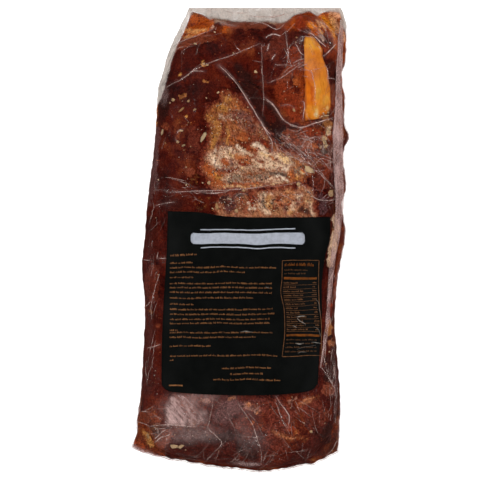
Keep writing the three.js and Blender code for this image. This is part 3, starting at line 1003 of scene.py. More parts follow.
# The crust's marks in the order they are laid: a tone, and its strokes, each as corners with the half width
# at each
CRUST_MARKS = [
    ("gold brown", [(-19, 106, 7), (-10, 113, 7)], [(-26, 100, 3.5), (-20, 93, 4), (-20, 82, 3)]),
    ("orange brown", [(-2, 112, 5), (2, 106, 4)]), ("mauve brown", [(4, 98, 6), (10, 92, 6), (16, 84, 5)]),
    ("red brown", [(-16, 96, 3), (-14, 90, 2.5), (-14, 84, 2)], [(-3, 119, 3), (4, 112, 3)]),
    ("mauve", [(-4, 101, 3.2), (2, 103, 2.6)], [(7, 98, 3), (9, 91, 3.4)],
     [(-17, 78, 2.6), (-13, 77, 2.4)]),
    ("dark red", [(-15, 85, 1.8)], [(-29, 88, 2.6), (-28, 79, 2.6), (-31, 70, 3), (-31, 62, 2)]),
    ("gold",
     [(-27, 101, 1.4), (-22, 98, 1.8), (-18, 95, 1.6), (-19, 88, 1.4), (-20, 83, 1.5), (-22, 76, 1.3)],
     [(-15, 108, 2.4), (-11, 106, 1.6)], [(-12, 115, 1.4), (-7, 114, 1.2)],
     [(-10, 91, 0.9), (-9.5, 85, 1), (-10.5, 79, 1.2)], [(-16, 92, 0.9), (-17.5, 86, 0.9)]),
    ("taupe", [(-16, 101, 1.8), (-13, 99, 1.2)], [(-10, 100, 1), (-7, 98, 0.9)]),
    ("rust", [(-8, 82, 1.4), (-5, 82, 1.2)], [(2, 84, 4), (7, 83, 3)]), ("orange brown", [(2, 82, 1.6)]),
    ("red brown", [(8, 87, 3), (14, 80, 3)]),
    ("taupe", [(-22, 68, 4), (-10, 66, 8), (6, 62, 7), (22, 63, 6), (36, 62, 5)]),
    ("cream", [(-14, 74, 1.6), (-13, 68, 2.2), (-10, 67, 2)], [(-9, 75, 1.6), (-6, 70, 3)],
     [(-2, 75.5, 1.4), (2, 72, 2), (7, 69.5, 2)],
     [(10, 77, 1.5), (14, 77, 2), (18, 72, 3), (24, 68, 3), (30, 68, 2.6), (38, 65, 2.8), (43, 61, 1.5)],
     [(-22, 68, 2.2), (-20, 63, 2.6), (-16, 60, 2.4)],
     [(12, 63, 2.6), (20, 61, 3), (30, 60, 2.6), (38, 58, 2)]),
    ("pale cream", [(-21.5, 66, 0.8), (-20, 62, 0.9), (-17, 59, 0.8)], [(-20, 73.5, 0.9)],
     [(-2, 76.5, 0.8), (1, 74, 0.9), (4, 71.5, 0.8)],
     [(10.5, 78, 0.8), (14, 78, 1), (18, 73, 1), (21, 70.5, 0.8)]),
    ("pale gold", [(18, 70.5, 1), (22, 68.5, 0.9)], [(33, 68.5, 1.6), (36, 66, 1.8), (38.5, 63.5, 1.4)]),
    ("pale cream", [(36, 57.5, 1.2), (38, 57, 0.8)]), ("pale gold", [(-8, 71, 0.8), (-6, 68, 0.8)]),
    ("dark red", [(1, 78, 1.6), (5, 77.5, 2.6), (8, 79, 1.4)]), ("red", [(7, 75, 1.5), (7.4, 72.5, 1)]),
    ("dark red", [(18, 80, 1.6), (22, 78, 3), (25, 74, 2)]),
    ("red", [(20.5, 78.5, 1.1), (22, 76.5, 0.9)], [(12.5, 73, 0.8), (14, 74.5, 0.6)]),
    ("rust", [(-12.5, 64, 1.8), (-11.5, 61, 1.8)]),
    ("orange brown", [(-3, 68, 2), (1, 66, 3), (6, 63.6, 2.6), (10, 62.6, 1.4)]),
    ("rust", [(0, 66, 1.2), (5, 64, 1.4)], [(-14, 63.6, 1.6), (-11, 62.6, 2)]),
    ("red", [(0, 62.6, 1), (4, 61.4, 1), (8, 61.1, 0.8)]), ("dark red", [(1, 61.6, 0.6), (6, 60.9, 0.6)]),
    ("rust", [(6, 68.5, 1.2), (8.5, 67.5, 0.9)]), ("red brown", [(15, 64, 1.2), (18, 63.5, 1)]),
    ("rust", [(17, 57.8, 0.9), (19, 57.6, 0.8)]), ("dark red", [(29, 65.5, 0.9), (30.5, 66.5, 0.6)]),
    ("orange brown", [(24, 68, 0.9), (27, 66, 1)]), ("mauve", [(-7.5, 65.5, 1.3), (-6.5, 62.5, 1.5)]),
    ("red brown", [(-16, 56.5, 1.6), (-8, 56.5, 2.2), (-3, 57.5, 1.8)]),
    ("shadow", [(-14, 55.8, 1.1)], [(-19, 57, 0.9)]), ("dark red", [(-9, 56.5, 1.5), (-6, 56.8, 1.1)]),
    ("rust", [(-2, 57.5, 1.2)]), ("pale cream", [(-16, 58.5, 0.7)], [(-12, 57.8, 0.6)], [(-4, 59, 0.7)]),
    ("pale gold", [(3, 59, 1)]), ("rust", [(-27, 58, 3), (-24, 55, 3.4)], [(-21, 51, 3.5), (-16, 52, 3)]),
    ("gold", [(-18, 50.5, 1.6), (-15, 50, 1.4)]), ("orange", [(-25, 54, 1.6), (-20, 53, 1.4)]),
    ("gold", [(-21, 55, 0.8), (-19, 52, 0.8)]), ("orange", [(50, 56, 1.6), (54, 52, 1.6)]),
    ("gold", [(44, 58, 1.2), (50, 54, 1.4), (56, 50, 1.2)], [(45, 50.5, 1.2), (54, 48, 1.2)]),
    ("pale gold", [(49, 56, 0.6), (53, 53, 0.6)], [(46, 52.5, 0.5), (51, 49.6, 0.6)]),
    ("rust", [(-20, 46, 3), (-15, 45, 3)]), ("orange brown", [(-17, 43, 2)]),
    ("taupe", [(-12, 50, 2.4), (-6, 52, 2.2), (0, 54, 2)]),
    ("grey",
     [(-11, 49, 2.4), (-2, 49.5, 2.6), (6, 49, 3), (14, 49.5, 3), (22, 51.5, 3), (30, 53, 2.4),
      (37, 53, 1.8)]),
    ("shadow", [(-9, 47.6, 0.8), (-7.5, 47, 0.7)], [(8, 51.3, 0.6)], [(20.5, 51, 0.6), (21.5, 49, 0.5)]),
    ("brown", [(2, 49.5, 1.2), (8, 48.8, 1.2)]),
    ("shadow", [(25, 54.3, 0.9), (31, 54.2, 1.1), (36, 53, 1), (38.5, 52, 0.8)]),
    ("taupe", [(20, 47, 1.4), (27, 49, 2), (34, 48, 1.8)]), ("cream", [(23, 49, 0.9), (26, 50, 0.8)]),
    ("pale cream", [(29.5, 52.2, 0.5), (32.5, 51.9, 0.7), (36, 50, 0.9), (39, 47.6, 0.7)]),
    ("cream", [(-12, 49, 0.8), (-10, 51, 0.6)]), ("rust", [(-12, 44, 2), (2, 44, 2.2), (14, 45, 1.5)]),
    ("pale gold", [(-12, 43, 0.7), (-6, 43.6, 0.7), (0, 43.5, 0.8), (3, 42.3, 0.6)]),
    ("gold", [(4, 43.5, 0.6), (10, 43.8, 0.6), (15, 44, 0.5)]),
    ("red brown", [(16, 42, 1.4), (24, 42.5, 1.8), (32, 43, 2)]),
    ("pale gold", [(14, 43.2, 0.4), (20, 44.2, 0.5), (26, 45.2, 0.4), (33, 46.4, 0.4)]),
    ("cream", [(28, 42.3, 0.6), (29.5, 44, 0.5)]), ("orange brown", [(42, 55, 2.4), (42, 50, 2.2)]),
    ("rust", [(44, 52, 1.8)]), ("gold brown", [(48, 62, 2.4), (46, 65, 2)]),
    ("orange brown", [(50, 66, 2), (47, 61, 1.4)]), ("grey", [(46, 56.5, 1.8), (48, 58, 1.2)]),
    ("shadow", [(47.5, 55.5, 0.8)]), ("gold brown", [(50, 50.5, 2.6), (57, 51, 2.4)]),
    ("rust", [(53, 46.5, 2.6), (50, 48, 2)]), ("gold", [(53, 49.5, 0.8), (56, 49.5, 0.8)]),
    ("cream", [(47, 46.3, 1.4), (48, 44.5, 0.8)]), ("orange brown", [(60, 56, 1.4), (60, 50, 1.4)]),
    ("purple", [(-14, 35, 5), (-6, 34, 6), (-10, 27, 5)]),
    ("black brown", [(-14, 33, 2.6), (-11, 30, 2.4)]), ("mauve", [(-7, 37, 1.6), (-4, 35, 1.6)]),
    ("shadow", [(-2, 36, 2.2), (4, 38, 1.6), (9, 38.5, 1)]), ("red brown", [(2, 31, 3.4), (5, 25, 3)]),
    ("brown", [(-2, 32, 1.6)]), ("dark red", [(9, 36, 2.4), (11, 31, 3)]),
    ("red", [(9, 32, 1.2)], [(10, 28, 1.2)]), ("pale cream", [(7, 30, 0.6)]),
    ("cream", [(8.5, 28.3, 0.7)], [(12, 28.5, 0.6)]), ("pale cream", [(7.5, 25.3, 0.6), (12, 25.3, 0.7)]),
    ("red brown", [(12, 37, 2.4), (15, 33, 2)]), ("taupe", [(20, 37, 3), (18, 31, 3), (20, 25, 3)]),
    ("grey", [(21, 34, 1.4), (20, 27, 1.6)], [(21, 39, 1.4), (19, 36.5, 1.2)]),
    ("cream", [(20, 37, 1), (22, 36.5, 0.8)]), ("pale cream", [(26, 37.7, 0.9)], [(-8.5, 33.8, 0.7)]),
    ("shadow", [(18.6, 32, 1.1), (18.8, 27, 1.3)]),
    ("cream", [(16.5, 30, 0.8), (16.5, 26, 1), (19, 24, 1.2), (23, 22, 1.2)]),
    ("gold", [(23.5, 35, 2), (23, 29, 2.4), (24, 26, 2)]), ("pale gold", [(22.5, 29, 0.9)]),
    ("grey", [(26, 31, 1.2), (28, 33, 1)]), ("brown", [(29, 37, 3), (36, 38, 3)]),
    ("red brown", [(31, 43, 3), (38, 43, 2.4)]), ("dark red", [(31, 34, 1.6), (31, 32, 1.4)]),
    ("rust", [(31, 28.5, 2), (35, 28, 2.2)]), ("red", [(33, 29, 1)]),
    ("black brown", [(27, 25, 1.4), (30, 26, 1.2)]), ("purple", [(38, 28, 2), (36, 24, 2)]),
    ("orange brown", [(38, 37, 3), (41, 32, 3.4), (42, 38, 3)]), ("gold", [(39, 39, 1)]),
    ("red", [(40.5, 29.5, 1.2)]), ("cream", [(43, 29, 1.2), (43, 25, 1.4)]), ("gold", [(41, 23, 1.6)]),
    ("gold brown", [(33, 23, 2.6), (28, 22, 1.6)]),
    ("mauve", [(37, 24, 1.6)], [(49, 35, 2.4), (47, 30, 2.4)]), ("taupe", [(46, 36, 1.2), (48, 32, 1.2)]),
    ("cream", [(47, 34, 0.7), (49.5, 36, 0.6)]), ("gold brown", [(54, 33, 2.4), (56, 38, 2)]),
    ("pale gold", [(54, 31.5, 0.8), (57, 31, 0.9)]),
    ("cream", [(56, 30, 0.9), (58, 26, 1.1), (58.5, 21, 1.2)]), ("black brown", [(51, 24, 3), (55, 22, 2)]),
    ("red brown", [(62, 28, 3)]), ("black brown", [(66, 27, 3.6), (70, 29, 4), (69, 34, 3)]),
    ("taupe", [(63, 25, 0.7)]), ("grey", [(67, 21.5, 1.2), (69, 21, 1)]),
    ("gold brown", [(76, 28, 0.9), (76.5, 22, 1)]), ("black brown", [(60, 41, 2), (66, 38, 3)]),
]
# The ends of the crust's sheet, and its left and right edges
CRUST_HEAD_Y = 126
CRUST_FOOT_Y = 14
CRUST_LEFT = [(126, -22), (112, -31), (98, -35), (70, -39), (40, -34), (14, -27)]
CRUST_RIGHT = [(126, 8), (112, 14), (98, 26), (84, 40), (70, 58), (58, 68), (40, 79), (14, 80)]


def painted(x, y, ground, marks, seed, wander=1.6, fray=0.9, soft=1.5, full=PAINT_FULL, grow=0.35):
    """Values laid one over another on a ground, each by a stroke as wide as its corners say, whose edge is
    softer the wider it is and frayed by noise. Ground and result have a row of values for each point."""
    wx = x + wander * fractal(x, y, 9, seed) + 0.4 * wander * noise(x, y, 3.2, seed + 7)
    wy = y + wander * fractal(x, y, 9, seed + 5) + 0.4 * wander * noise(x, y, 3.2, seed + 9)
    layer = ground.copy()
    for number, (value, line) in enumerate(marks):
        corners = np.array(line + [(line[-1][0] + 0.01, *line[-1][1:])], float)
        inside = depth_in(wx, wy, corners).max(0)
        widest = corners[:, 2].max()
        spread = soft * (0.55 + 0.2 * widest)
        near = inside > -2 * spread - 1
        nx, ny = wx[near], wy[near]
        edge = noise(nx, ny, 2.8, seed + 20 + number) + 0.6 * noise(nx, ny, 1.4, seed + number)
        bulge = 0.3 * widest * noise(nx, ny, 3 + widest, seed + number)
        edge = 1.5 * fray * min(1, 0.3 + widest / 3) * edge + bulge
        share = full * ease(-spread, spread, inside[near] + grow * spread + edge)
        layer[near] = lerp(layer[near], value, share[:, None])
    return layer


def strokes(marks):
    """Each stroke of the marks in turn, as its tone and its line."""
    return [(TONES[name], line) for name, *lines in marks for line in lines]


# How far the roast lies under the film at the least, and the depths of its relief and of the beds in it
ROAST_GAP = 0.45
LEAN_DEPTH = 0.7
SEAM_DEPTH = 0.9
STRIP_BED = 1.4
CRUST_BED = 2.4


def meat_relief(x, y):
    """How deep the roast lies under the film: lean bulges and seams between muscles, crumbly crust, and
    beds for the fat strip and the crust."""
    lean = 0.5 + 0.5 * fractal(x, y, 16, 31)
    seams = 1 - np.abs(fractal(x + 5 * noise(x, y, 20, 35), y, 24, 33, octaves=3)) * 2.2
    grains = 0.5 + 0.5 * fractal(x, y, 4, 37, octaves=3, gain=0.7)
    crumbs = grains * (0.35 + 0.6 * crust_field(x, y))
    depth = LEAN_DEPTH * lean + SEAM_DEPTH * np.clip(seams, 0, 1) ** 3 + crumbs
    bed = STRIP_BED * fat_strip_mask(x, y) + CRUST_BED * ease(0.15, 0.5, crust_cover(x, y))
    return depth * ease(1.02, 0.9, outness(x, y)) + bed


# Marks on the roast outside the crust, in the order they are laid
ROAST_MARKS = [
    ("deep amber", [(-50, 163, 3), (-44, 167, 4), (-34, 171, 3)]),
    ("amber", [(-37, 181, 5), (-28, 179, 5)]),
    ("warm brown", [(-48, 160, 3), (-36, 162.5, 3), (-26, 165, 3)]),
    ("amber", [(-40, 174, 3), (-26, 174, 3)]),
    # The orange streak at y 171 and the pale amber in it are painted highlights on the juice
    ("orange", [(-45, 171.5, 1.2), (-36, 170.5, 1.2), (-27, 172, 0.8)]),
    ("pale amber", [(-45, 172, 0.4), (-36, 171.2, 0.5), (-28, 171.6, 0.3)]),
    ("orange", [(-42, 168, 0.9), (-34, 168.6, 0.8)]),
    ("pale amber", [(-43, 169.4, 0.3), (-35, 169, 0.4)], [(-46, 165.6, 0.3), (-40, 166.4, 0.3)]),
    ("rust red", [(-40, 177, 0.6), (-28, 176.6, 0.6)], [(-33, 185, 0.8), (-28, 183, 0.8)]),
    ("amber", [(-13, 171, 1.2), (-10, 174.5, 1.6)]), ("tan film", [(-19, 180.5, 1.8), (-12, 179.5, 2)]),
    ("red brown", [(-14, 177, 1.6), (-9, 177, 1.4)]), ("pink", [(-22, 174, 0.5)], [(-20, 172.5, 0.4)]),
    ("warm brown", [(-6, 176, 3), (8, 176.5, 3.4), (20, 175.5, 2.4)]),
    ("lean red", [(24, 154, 5), (32, 160, 6), (32, 168, 4)]), ("warm brown", [(35, 130, 4), (40, 137, 3)]),
    ("red brown", [(-2, 179.6, 0.6), (12, 179.4, 0.5)]), ("tan film", [(25, 177.4, 0.5), (35, 176.6, 0.4)]),
    ("red brown", [(31, 175, 1.4), (38, 175.5, 1.4)]), ("maroon", [(40, 166, 4), (50, 164, 5)]),
    ("deep amber", [(41, 176, 4), (47, 182, 5), (57, 184, 5), (62, 176, 3)]),
    ("amber", [(43, 174, 0.6), (44, 181, 0.6)]), ("rust red", [(46.4, 173, 0.9), (47, 182, 1)]),
    ("red", [(48.5, 172, 0.8), (49.5, 184, 0.9)]), ("rust red", [(52, 176, 3), (57, 180, 3)]),
    ("maroon", [(50, 168, 2), (55, 171, 1.4)]), ("amber", [(63, 170, 3), (66, 178, 5), (70, 184, 4)]),
    ("orange", [(57, 176, 1.8), (61, 173.6, 1.6)]), ("bright amber", [(58, 175.4, 0.8), (60, 174, 0.7)]),
    ("rust red", [(62, 182, 0.8), (66, 174, 0.9), (70, 168, 0.8)]),
    ("orange", [(66, 185, 2), (70, 179, 1.6)]),
    ("bright amber", [(68, 182, 0.8), (72, 176.6, 1.1), (76.4, 170, 1), (77, 165, 0.7)]),
    ("rust red", [(71, 170, 1.6), (74, 164, 1.2)]),
    ("peach", [(75, 185.6, 1.8), (81, 184, 1.6)], [(78, 180, 2), (80.5, 172, 1.8)]),
    ("pale amber", [(73.5, 183, 0.5), (77.5, 179, 0.5)], [(74.6, 179.6, 0.4), (78.4, 173, 0.4)]),
    ("peach", [(84, 178, 1.6), (84.8, 164, 1.6)]),
    ("pale amber", [(62.5, 180, 0.35), (66, 174.4, 0.35)], [(66.4, 178, 0.35), (69.6, 172, 0.35)],
     [(64, 172.4, 0.3), (67, 168, 0.35)]), ("maroon", [(66, 166, 1), (70, 162, 2.4), (74, 160, 1.2)]),
    ("pink", [(65, 166, 0.4), (68, 163, 0.4)]), ("amber", [(78, 163, 1.6), (80, 156, 1.2)]),
    ("warm red", [(71, 156, 2.6), (76, 151, 4), (78, 146, 2)]),
    ("maroon", [(74, 145, 2.8), (76, 136, 3), (76, 124, 2)]),
    ("amber", [(86, 152, 1.8), (86, 140, 1.6), (85, 128, 1.8), (86, 116, 1.6)]),
    ("red brown", [(76, 124, 2.4), (77, 112, 2)]), ("rust", [(48, 134, 2.4), (46, 128, 2)]),
    ("warm red", [(35, 120, 6), (40, 112, 8), (46, 104, 6)], [(44, 152, 5), (46, 140, 5)]),
    ("deep amber", [(50, 136, 2.4), (51, 120, 1.6), (50, 106, 1.6)]),
    ("pale amber", [(-69, 118, 1), (-69.4, 106, 1.2), (-69.8, 95, 1)]),
    ("dark maroon", [(-62, 122, 3), (-62, 104, 3.5)]),
    ("purple brown", [(-67, 90, 1.4), (-69, 76, 2), (-72, 50, 2.4), (-75, 30, 2)]),
    ("warm brown", [(-61, 93, 2.4)]), ("gold brown", [(-48.5, 116.5, 1.2), (-45, 118, 1)]),
    ("gold", [(-43.5, 101, 0.9)], [(-49, 135, 0.6)], [(-30.5, 145, 1), (-29, 143, 1)]),
    ("gold brown", [(-30, 130, 0.5), (-26, 128.5, 0.5)]), ("red brown", [(-41, 55, 3)]),
    ("lean red", [(-37, 88, 4), (-37, 76, 4)]), ("warm brown", [(42, 84, 6), (54, 77, 7), (52, 68, 5)]),
    ("rust", [(56, 78, 2), (60, 76, 2)]), ("warm red", [(54, 88, 3), (64, 86, 2.4), (76, 84, 2)]),
    ("gold brown", [(72, 95, 2.4), (70, 99, 2)]), ("cream", [(72.5, 91, 1), (71.5, 87, 1)]),
    ("pale gold", [(68, 83, 0.8), (70, 77, 0.7)]),
    ("lean red", [(58, 60, 3), (61, 52, 4), (60, 44, 3)], [(70, 58, 4), (67, 47, 4), (62, 42, 2)]),
    ("warm red", [(70, 67, 3), (72, 58, 2), (68, 49, 1.4)]),
    ("purple", [(66, 36, 1.4), (69, 31, 2.2), (67, 24, 3)]), ("shadow", [(68, 72, 2)]),
    ("maroon", [(20, 106, 2.4), (26, 98, 2.4)], [(-72, 16, 3), (-72, -12, 5)]),
    ("lean red", [(-70, -24, 3.5), (-72, -36, 5), (-71, -46, 4)]),
    ("maroon", [(-72, -62, 4), (-74, -80, 5)], [(-76, -94, 3), (-72, -112, 5), (-76, -124, 3)]),
    ("lean red", [(-68, -86, 2)]), ("warm brown", [(-66, -70, 1.2)]), ("gold brown", [(-73, -58, 0.8)]),
    ("taupe", [(76, 18, 1.4), (80, 9, 1.8)], [(77, 4, 1.8), (75, -9, 2.2), (73, -19, 2)]),
    ("cream", [(76, 2, 0.8), (75, -9, 1.2), (73, -17, 1)]), ("mauve", [(71, 4, 1), (71, -6, 1)]),
    ("red brown", [(82, -10, 1.6), (80, -36, 2.4), (78, -48, 2)]),
    ("dark red", [(75, -52, 2.4), (74, -60, 2)]), ("red", [(74, -53, 1)]),
    ("gold brown", [(73, -68, 2), (72, -76, 1.6)]), ("brown", [(74, -84, 2.4)]),
    ("dark maroon", [(73, -98, 4), (73, -112, 4)]), ("red brown", [(72, -122, 4)]),
    ("warm brown", [(-80, -144, 4), (-68, -147, 3)]),
    ("deep amber", [(-86, -165, 2.5), (-80, -162, 3.5), (-80, -170, 2.5)]),
    ("gold", [(-78, -157, 1.2), (-75, -163, 1.8), (-72, -168, 1.2)]),
    ("red brown", [(-64, -165, 5), (-60, -160, 4)]), ("warm brown", [(-54, 155, 1.8), (-57, 149, 1.4)]),
    ("deep amber", [(-66, -176, 2), (-62, -178, 2)]), ("maroon", [(-32, -172, 6), (-14, -172, 5)]),
    # black brown here is a painted shadow along the foot hollow
    ("black brown", [(-30, -161, 2), (-20, -163, 3.4), (-8, -160, 3)]),
    ("dark maroon", [(4, -168, 6), (10, -174, 5)]),
    ("lean red", [(22, -134, 6), (36, -142, 8), (30, -152, 7)], [(58, -138, 7), (62, -148, 6)],
     [(24, -163, 4), (34, -168, 4)]), ("warm red", [(40, -152, 2), (46, -156, 2)]),
    ("orange brown", [(45.5, -156, 0.8)]),
    ("brown", [(27, -155, 0.4), (34, -159, 0.6), (40, -162, 0.6), (46, -161, 0.4)],
     [(50, -133, 0.5), (57, -131, 0.6)]), ("mauve brown", [(40, -132, 0.5), (46, -128.5, 0.5)]),
    ("brown", [(52, -130, 0.4), (60, -128, 0.4)]), ("warm brown", [(46, -133, 1.2), (50, -136, 1)]),
    ("maroon", [(66, -158, 6), (60, -172, 5), (48, -178, 4)]),
    ("dark maroon", [(70, -162, 4), (72, -152, 3)]), ("red brown", [(78, -174, 2.6)]),
    ("mauve brown", [(6, -134, 2), (9, -137, 1.4)]), ("orange brown", [(7, -133.6, 0.6)]),
    ("mauve brown", [(14, -140, 2)]), ("orange brown", [(14.6, -141, 0.5)]), ("rust", [(10, -149, 0.9)]),
    ("purple brown", [(-14, -142, 7), (-6, -136, 6)]), ("lean red", [(0, -148, 4), (6, -156, 4)]),
    ("brown", [(-5, -128, 0.5), (-9, -129, 0.6)]), ("mauve brown", [(-31, -130, 1), (-26, -131, 1.2)]),
]


def roast_fill(x, y, lip):
    """How far the juices fill the bag's lip, as a share of its width, by the width of bare film left
    there."""
    header = ease(170, 178, y) * smooth(HEADER_BARE, x)
    left = (1 - 0.25 * ease(168, 176, y)) * left_bare(x, y)
    foot = 1.4 * ease(-150, -170, y)
    bare = np.maximum.reduce([header, left, foot, 0.3 + 0.06 * lip]) + 0.5 * noise(x, y, 6, 59)
    return np.clip(1 - bare / np.maximum(lip, 0.1), 0, 0.95)


def roast_top(x, y):
    """The meat's upper face: the film less the gap and the relief."""
    return film_top(x, y) - ROAST_GAP - meat_relief(x, y)


def roast_under(x, y):
    """The meat's lower face: the lower film and a gap, lumpy towards the rim."""
    lumps = 0.5 + 0.5 * fractal(x, y, 9, 51)
    return smooth_under(x, y) + 0.6 * ROAST_GAP + 0.5 * ease(0.6, 0.9, outness(x, y)) * lumps


def add_roast():
    """The roast with its juices, out to where they fill the bag's lip, its underside crusted by chance."""
    points, faces = envelope(roast_top, roast_under, roast_fill)
    x, y, z = points.T
    upper = ease(-3, 3, z - seam_height(y))
    marks = [(np.append(tint[:3], 1), line) for tint, line in strokes(ROAST_MARKS)]
    layer = painted(x, y, np.zeros((len(x), 4)), marks, 501, wander=1.2, soft=1.8)
    fields = {
        "tint": layer[:, :3] / np.maximum(layer[:, 3:], 0.01),
        "marked": layer[:, 3] / PAINT_FULL * upper,
        "crust": crust_field(x, y) * upper + (1 - upper) * 0.6 * ease(0.0, 0.5, fractal(x, y, 40, 165)),
        "cream": cream_field(x, y) * upper,
        "dark": dark_spots_and_fold_shade(x, y) * upper + (1 - upper) * 0.5 * ease(0.1, 0.5, fractal(x, y, 50, 167)),
        "warm": spots(x, y, WARM_SPOTS, 7, 50) * upper + (1 - upper) * 0.4,
        "juice": juice_field(x, y) * upper,
        "grainy": spots(x, y, GRAINY_SPOTS, 5, 52) * upper,
    }
    add_piece("roast", points, faces, roast_paint(), fields, "pack")


# Strands that marble the crust, and flecks in it: a tone, their size, from what height of the noise they
# show, and how strongly
CRUST_MARBLE = [
    ("red brown", 5, 0.0, 0.8), ("gold brown", 4, 0.0, 0.6), ("mauve brown", 4.5, 0.1, 0.8),
    ("dark red", 3, 0.2, 0.6), ("orange brown", 3.4, 0.1, 0.7), ("taupe", 3.6, 0.25, 0.6),
    ("rust", 2.8, 0.2, 0.7), ("mauve", 2.4, 0.25, 0.5),
]
CRUST_FLECKS = [
    ("rust red", 2.8, 0.2, 0.6), ("dark red", 2.2, 0.25, 0.75), ("orange", 2.2, 0.3, 0.7),
    ("gold", 2.4, 0.35, 0.6), ("black brown", 1.8, 0.4, 0.7), ("pale cream", 1.7, 0.42, 0.8),
]
# What lengths along a strand are multiplied by before its noise is read
STRAND_STRETCH = 0.4


def strand_place(x, y):
    """Plan points measured along and across STRAND_HEADING, shortened along it by STRAND_STRETCH."""
    heading = math.radians(STRAND_HEADING)
    along = (x * math.cos(heading) + y * math.sin(heading)) * STRAND_STRETCH
    return along, y * math.cos(heading) - x * math.sin(heading)


def tinted(layer, name, share):
    """The layer with a share of a tone over it."""
    return lerp(layer, TONES[name], share[:, None])


def marbled(x, y, layer, tones, seed, share):
    """The layer with a share of strands of other tones drawn through it, longest along STRAND_HEADING."""
    wx = x + 2.2 * noise(x, y, 5, seed) + 0.8 * noise(x, y, 2.2, seed + 1)
    wy = y + 2.2 * noise(x, y, 5, seed + 2) + 0.8 * noise(x, y, 2.2, seed + 3)
    along, across = strand_place(wx, wy)
    for number, (name, size, least, strength) in enumerate(tones):
        strands = fractal(along, across, size, seed + 10 + 7 * number, octaves=3, gain=0.7)
        layer = tinted(layer, name, share * strength * ease(least, least + 0.4, strands))
    return layer


# The crust's sheet: its mesh, its gap to the film, what a mark's height is multiplied by and held between,
# how far it dips at its edge, and its depth
CRUST_COLUMNS = 186
CRUST_ROWS = 232
CRUST_GAP = 0.4
CRUST_RELIEF = 0.8
CRUST_LOWEST = -1.6
CRUST_HIGHEST = 1.1
CRUST_DIP = 5
CRUST_DEPTH = 8


def crust_layer(x, y):
    """The crust's colours and heights at each point: its marks on marbled brown, marbled and flecked in
    turn, greyer in its lower part."""
    ground = marbled(x, y, np.tile(TONES["brown"], (len(x), 1)), CRUST_MARBLE, 341, 1.0)
    layer = painted(x, y, ground, strokes(CRUST_MARKS), 301, wander=1.1, fray=0.8, full=0.92, grow=0.15)
    pale = ease(0.1, 0.42, layer[:, 3])
    low = ease(48, 40, y)
    layer = tinted(layer, "taupe", 0.2 * (low * ease(-0.3, 0, layer[:, 3])))
    share = (0.5 - 0.15 * pale - 0.4 * ease(-0.1, -0.4, layer[:, 3])) * lerp(1, 0.5, low)
    layer = marbled(x, y, layer, CRUST_MARBLE, 371, share)
    return marbled(x, y, layer, CRUST_FLECKS, 471, 0.9 - 0.6 * pale)


def add_crust():
    """The spiced crust: a crumbly sheet bedded in the roast, its marks painted and raised by their tones,
    that dips under the meat all round its ragged edge."""
    ends = [(0, CRUST_FOOT_Y), (1, CRUST_FOOT_Y)], [(0, CRUST_HEAD_Y), (1, CRUST_HEAD_Y)]
    x, y = plan_grid((CRUST_LEFT, CRUST_RIGHT, *ends), CRUST_COLUMNS, CRUST_ROWS)
    layer = crust_layer(x, y)
    pale = ease(0.15, 0.4, layer[:, 3])
    wx, wy = wandered(x, y, 3, 311)
    along, across = strand_place(wx, wy)
    crumbs = 0.7 * fractal(along, across, 1.7, 313, octaves=2, gain=0.8)
    crumbs = crumbs + 0.3 * fractal(wx, wy, 3.0, 315, octaves=3, gain=0.9)
    pits = ease(0.45, 0.9, noise(wx, wy, 2.1, 317)) * ease(0.5, 0.2, layer[:, 3])
    cover = crust_cover(x, y) + 0.2 * fractal(x, y, 7, 319)
    edge = cover + 0.3 * noise(wx, wy, 2.6, 321)
    layer = tinted(layer, "red brown", 0.7 * ease(1.0, 0.75, edge))
    layer = tinted(layer, "dark red", 0.8 * ease(0.85, 0.5, edge))
    marked = ease(0.15, 0.65, edge)
    lift = np.clip(layer[:, 3] * marked + 0.4 * crumbs - 0.35 * pits, CRUST_LOWEST, CRUST_HIGHEST)
    # Painted light and shade on the crumbly relief: raised crumbs lighter, pits darker, and a little
    # lighter below y 80
    shade = (0.42 - 0.2 * pale) * crumbs - 0.35 * pits + 0.1 * ease(80, 66, y)
    dip = CRUST_DIP * (1 - ease(0.02, 0.25, cover))
    top = film_top(x, y) - CRUST_GAP - CRUST_RELIEF * (1.2 - lift) - dip
    points, faces = sheet_between(x, y, top, film_top(x, y) - CRUST_DEPTH, CRUST_COLUMNS, CRUST_ROWS)
    fields = {
        "tint": np.tile(layer[:, :3] * np.exp(shade)[:, None], (2, 1)),
        "marked": np.tile(marked, 2),
        "warm": np.tile(spots(x, y, WARM_SPOTS, 7, 50), 2),
        "even": np.tile(0.5 * pale, 2),
    }
    add_piece("spice_crust", points, faces, spice_paint(), fields, "pack")


# Marks on the orange strip, in the order they are laid
FAT_MARKS = [
    ("tan fat", [(56, 155, 4), (57, 150, 3.4)]), ("yellow fat", [(56, 162, 5), (61, 159, 3.6)]),
    ("tan fat", [(63, 160, 1.8)]), ("fat", [(62, 148, 4.5), (64, 136, 5)]), ("tan fat", [(56, 146, 2.6)]),
    ("deep fat", [(56, 134, 3), (57, 122, 3.4), (57, 112, 3.2)]),
    ("burnt fat", [(59.6, 124, 1.2), (59.6, 115, 1.4)]), ("gold fat", [(66, 126, 5), (67, 116, 5.5)]),
    ("yellow fat", [(64, 122, 1.6), (63, 116, 1.4)], [(70, 115, 2.2), (69, 110, 2)]),
    ("gold fat", [(57, 106, 3.6), (57, 100, 2.6)]), ("yellow fat", [(61, 107, 2)]),
    ("pale fat", [(62.5, 105, 1), (62.5, 101, 1.4)]), ("white fat", [(62, 102.5, 0.6)]),
    ("tan fat", [(67, 108, 2.4), (71, 108, 1.6)]), ("pale fat", [(71, 107.5, 0.9)]),
    ("brown fat", [(54, 98, 0.9), (59, 97, 0.8)], [(52.4, 134, 0.9), (52.8, 108, 0.9)],
     [(68, 152, 1.2), (69.6, 146, 0.9)], [(68, 101, 2.2), (64, 98, 1)]),
]


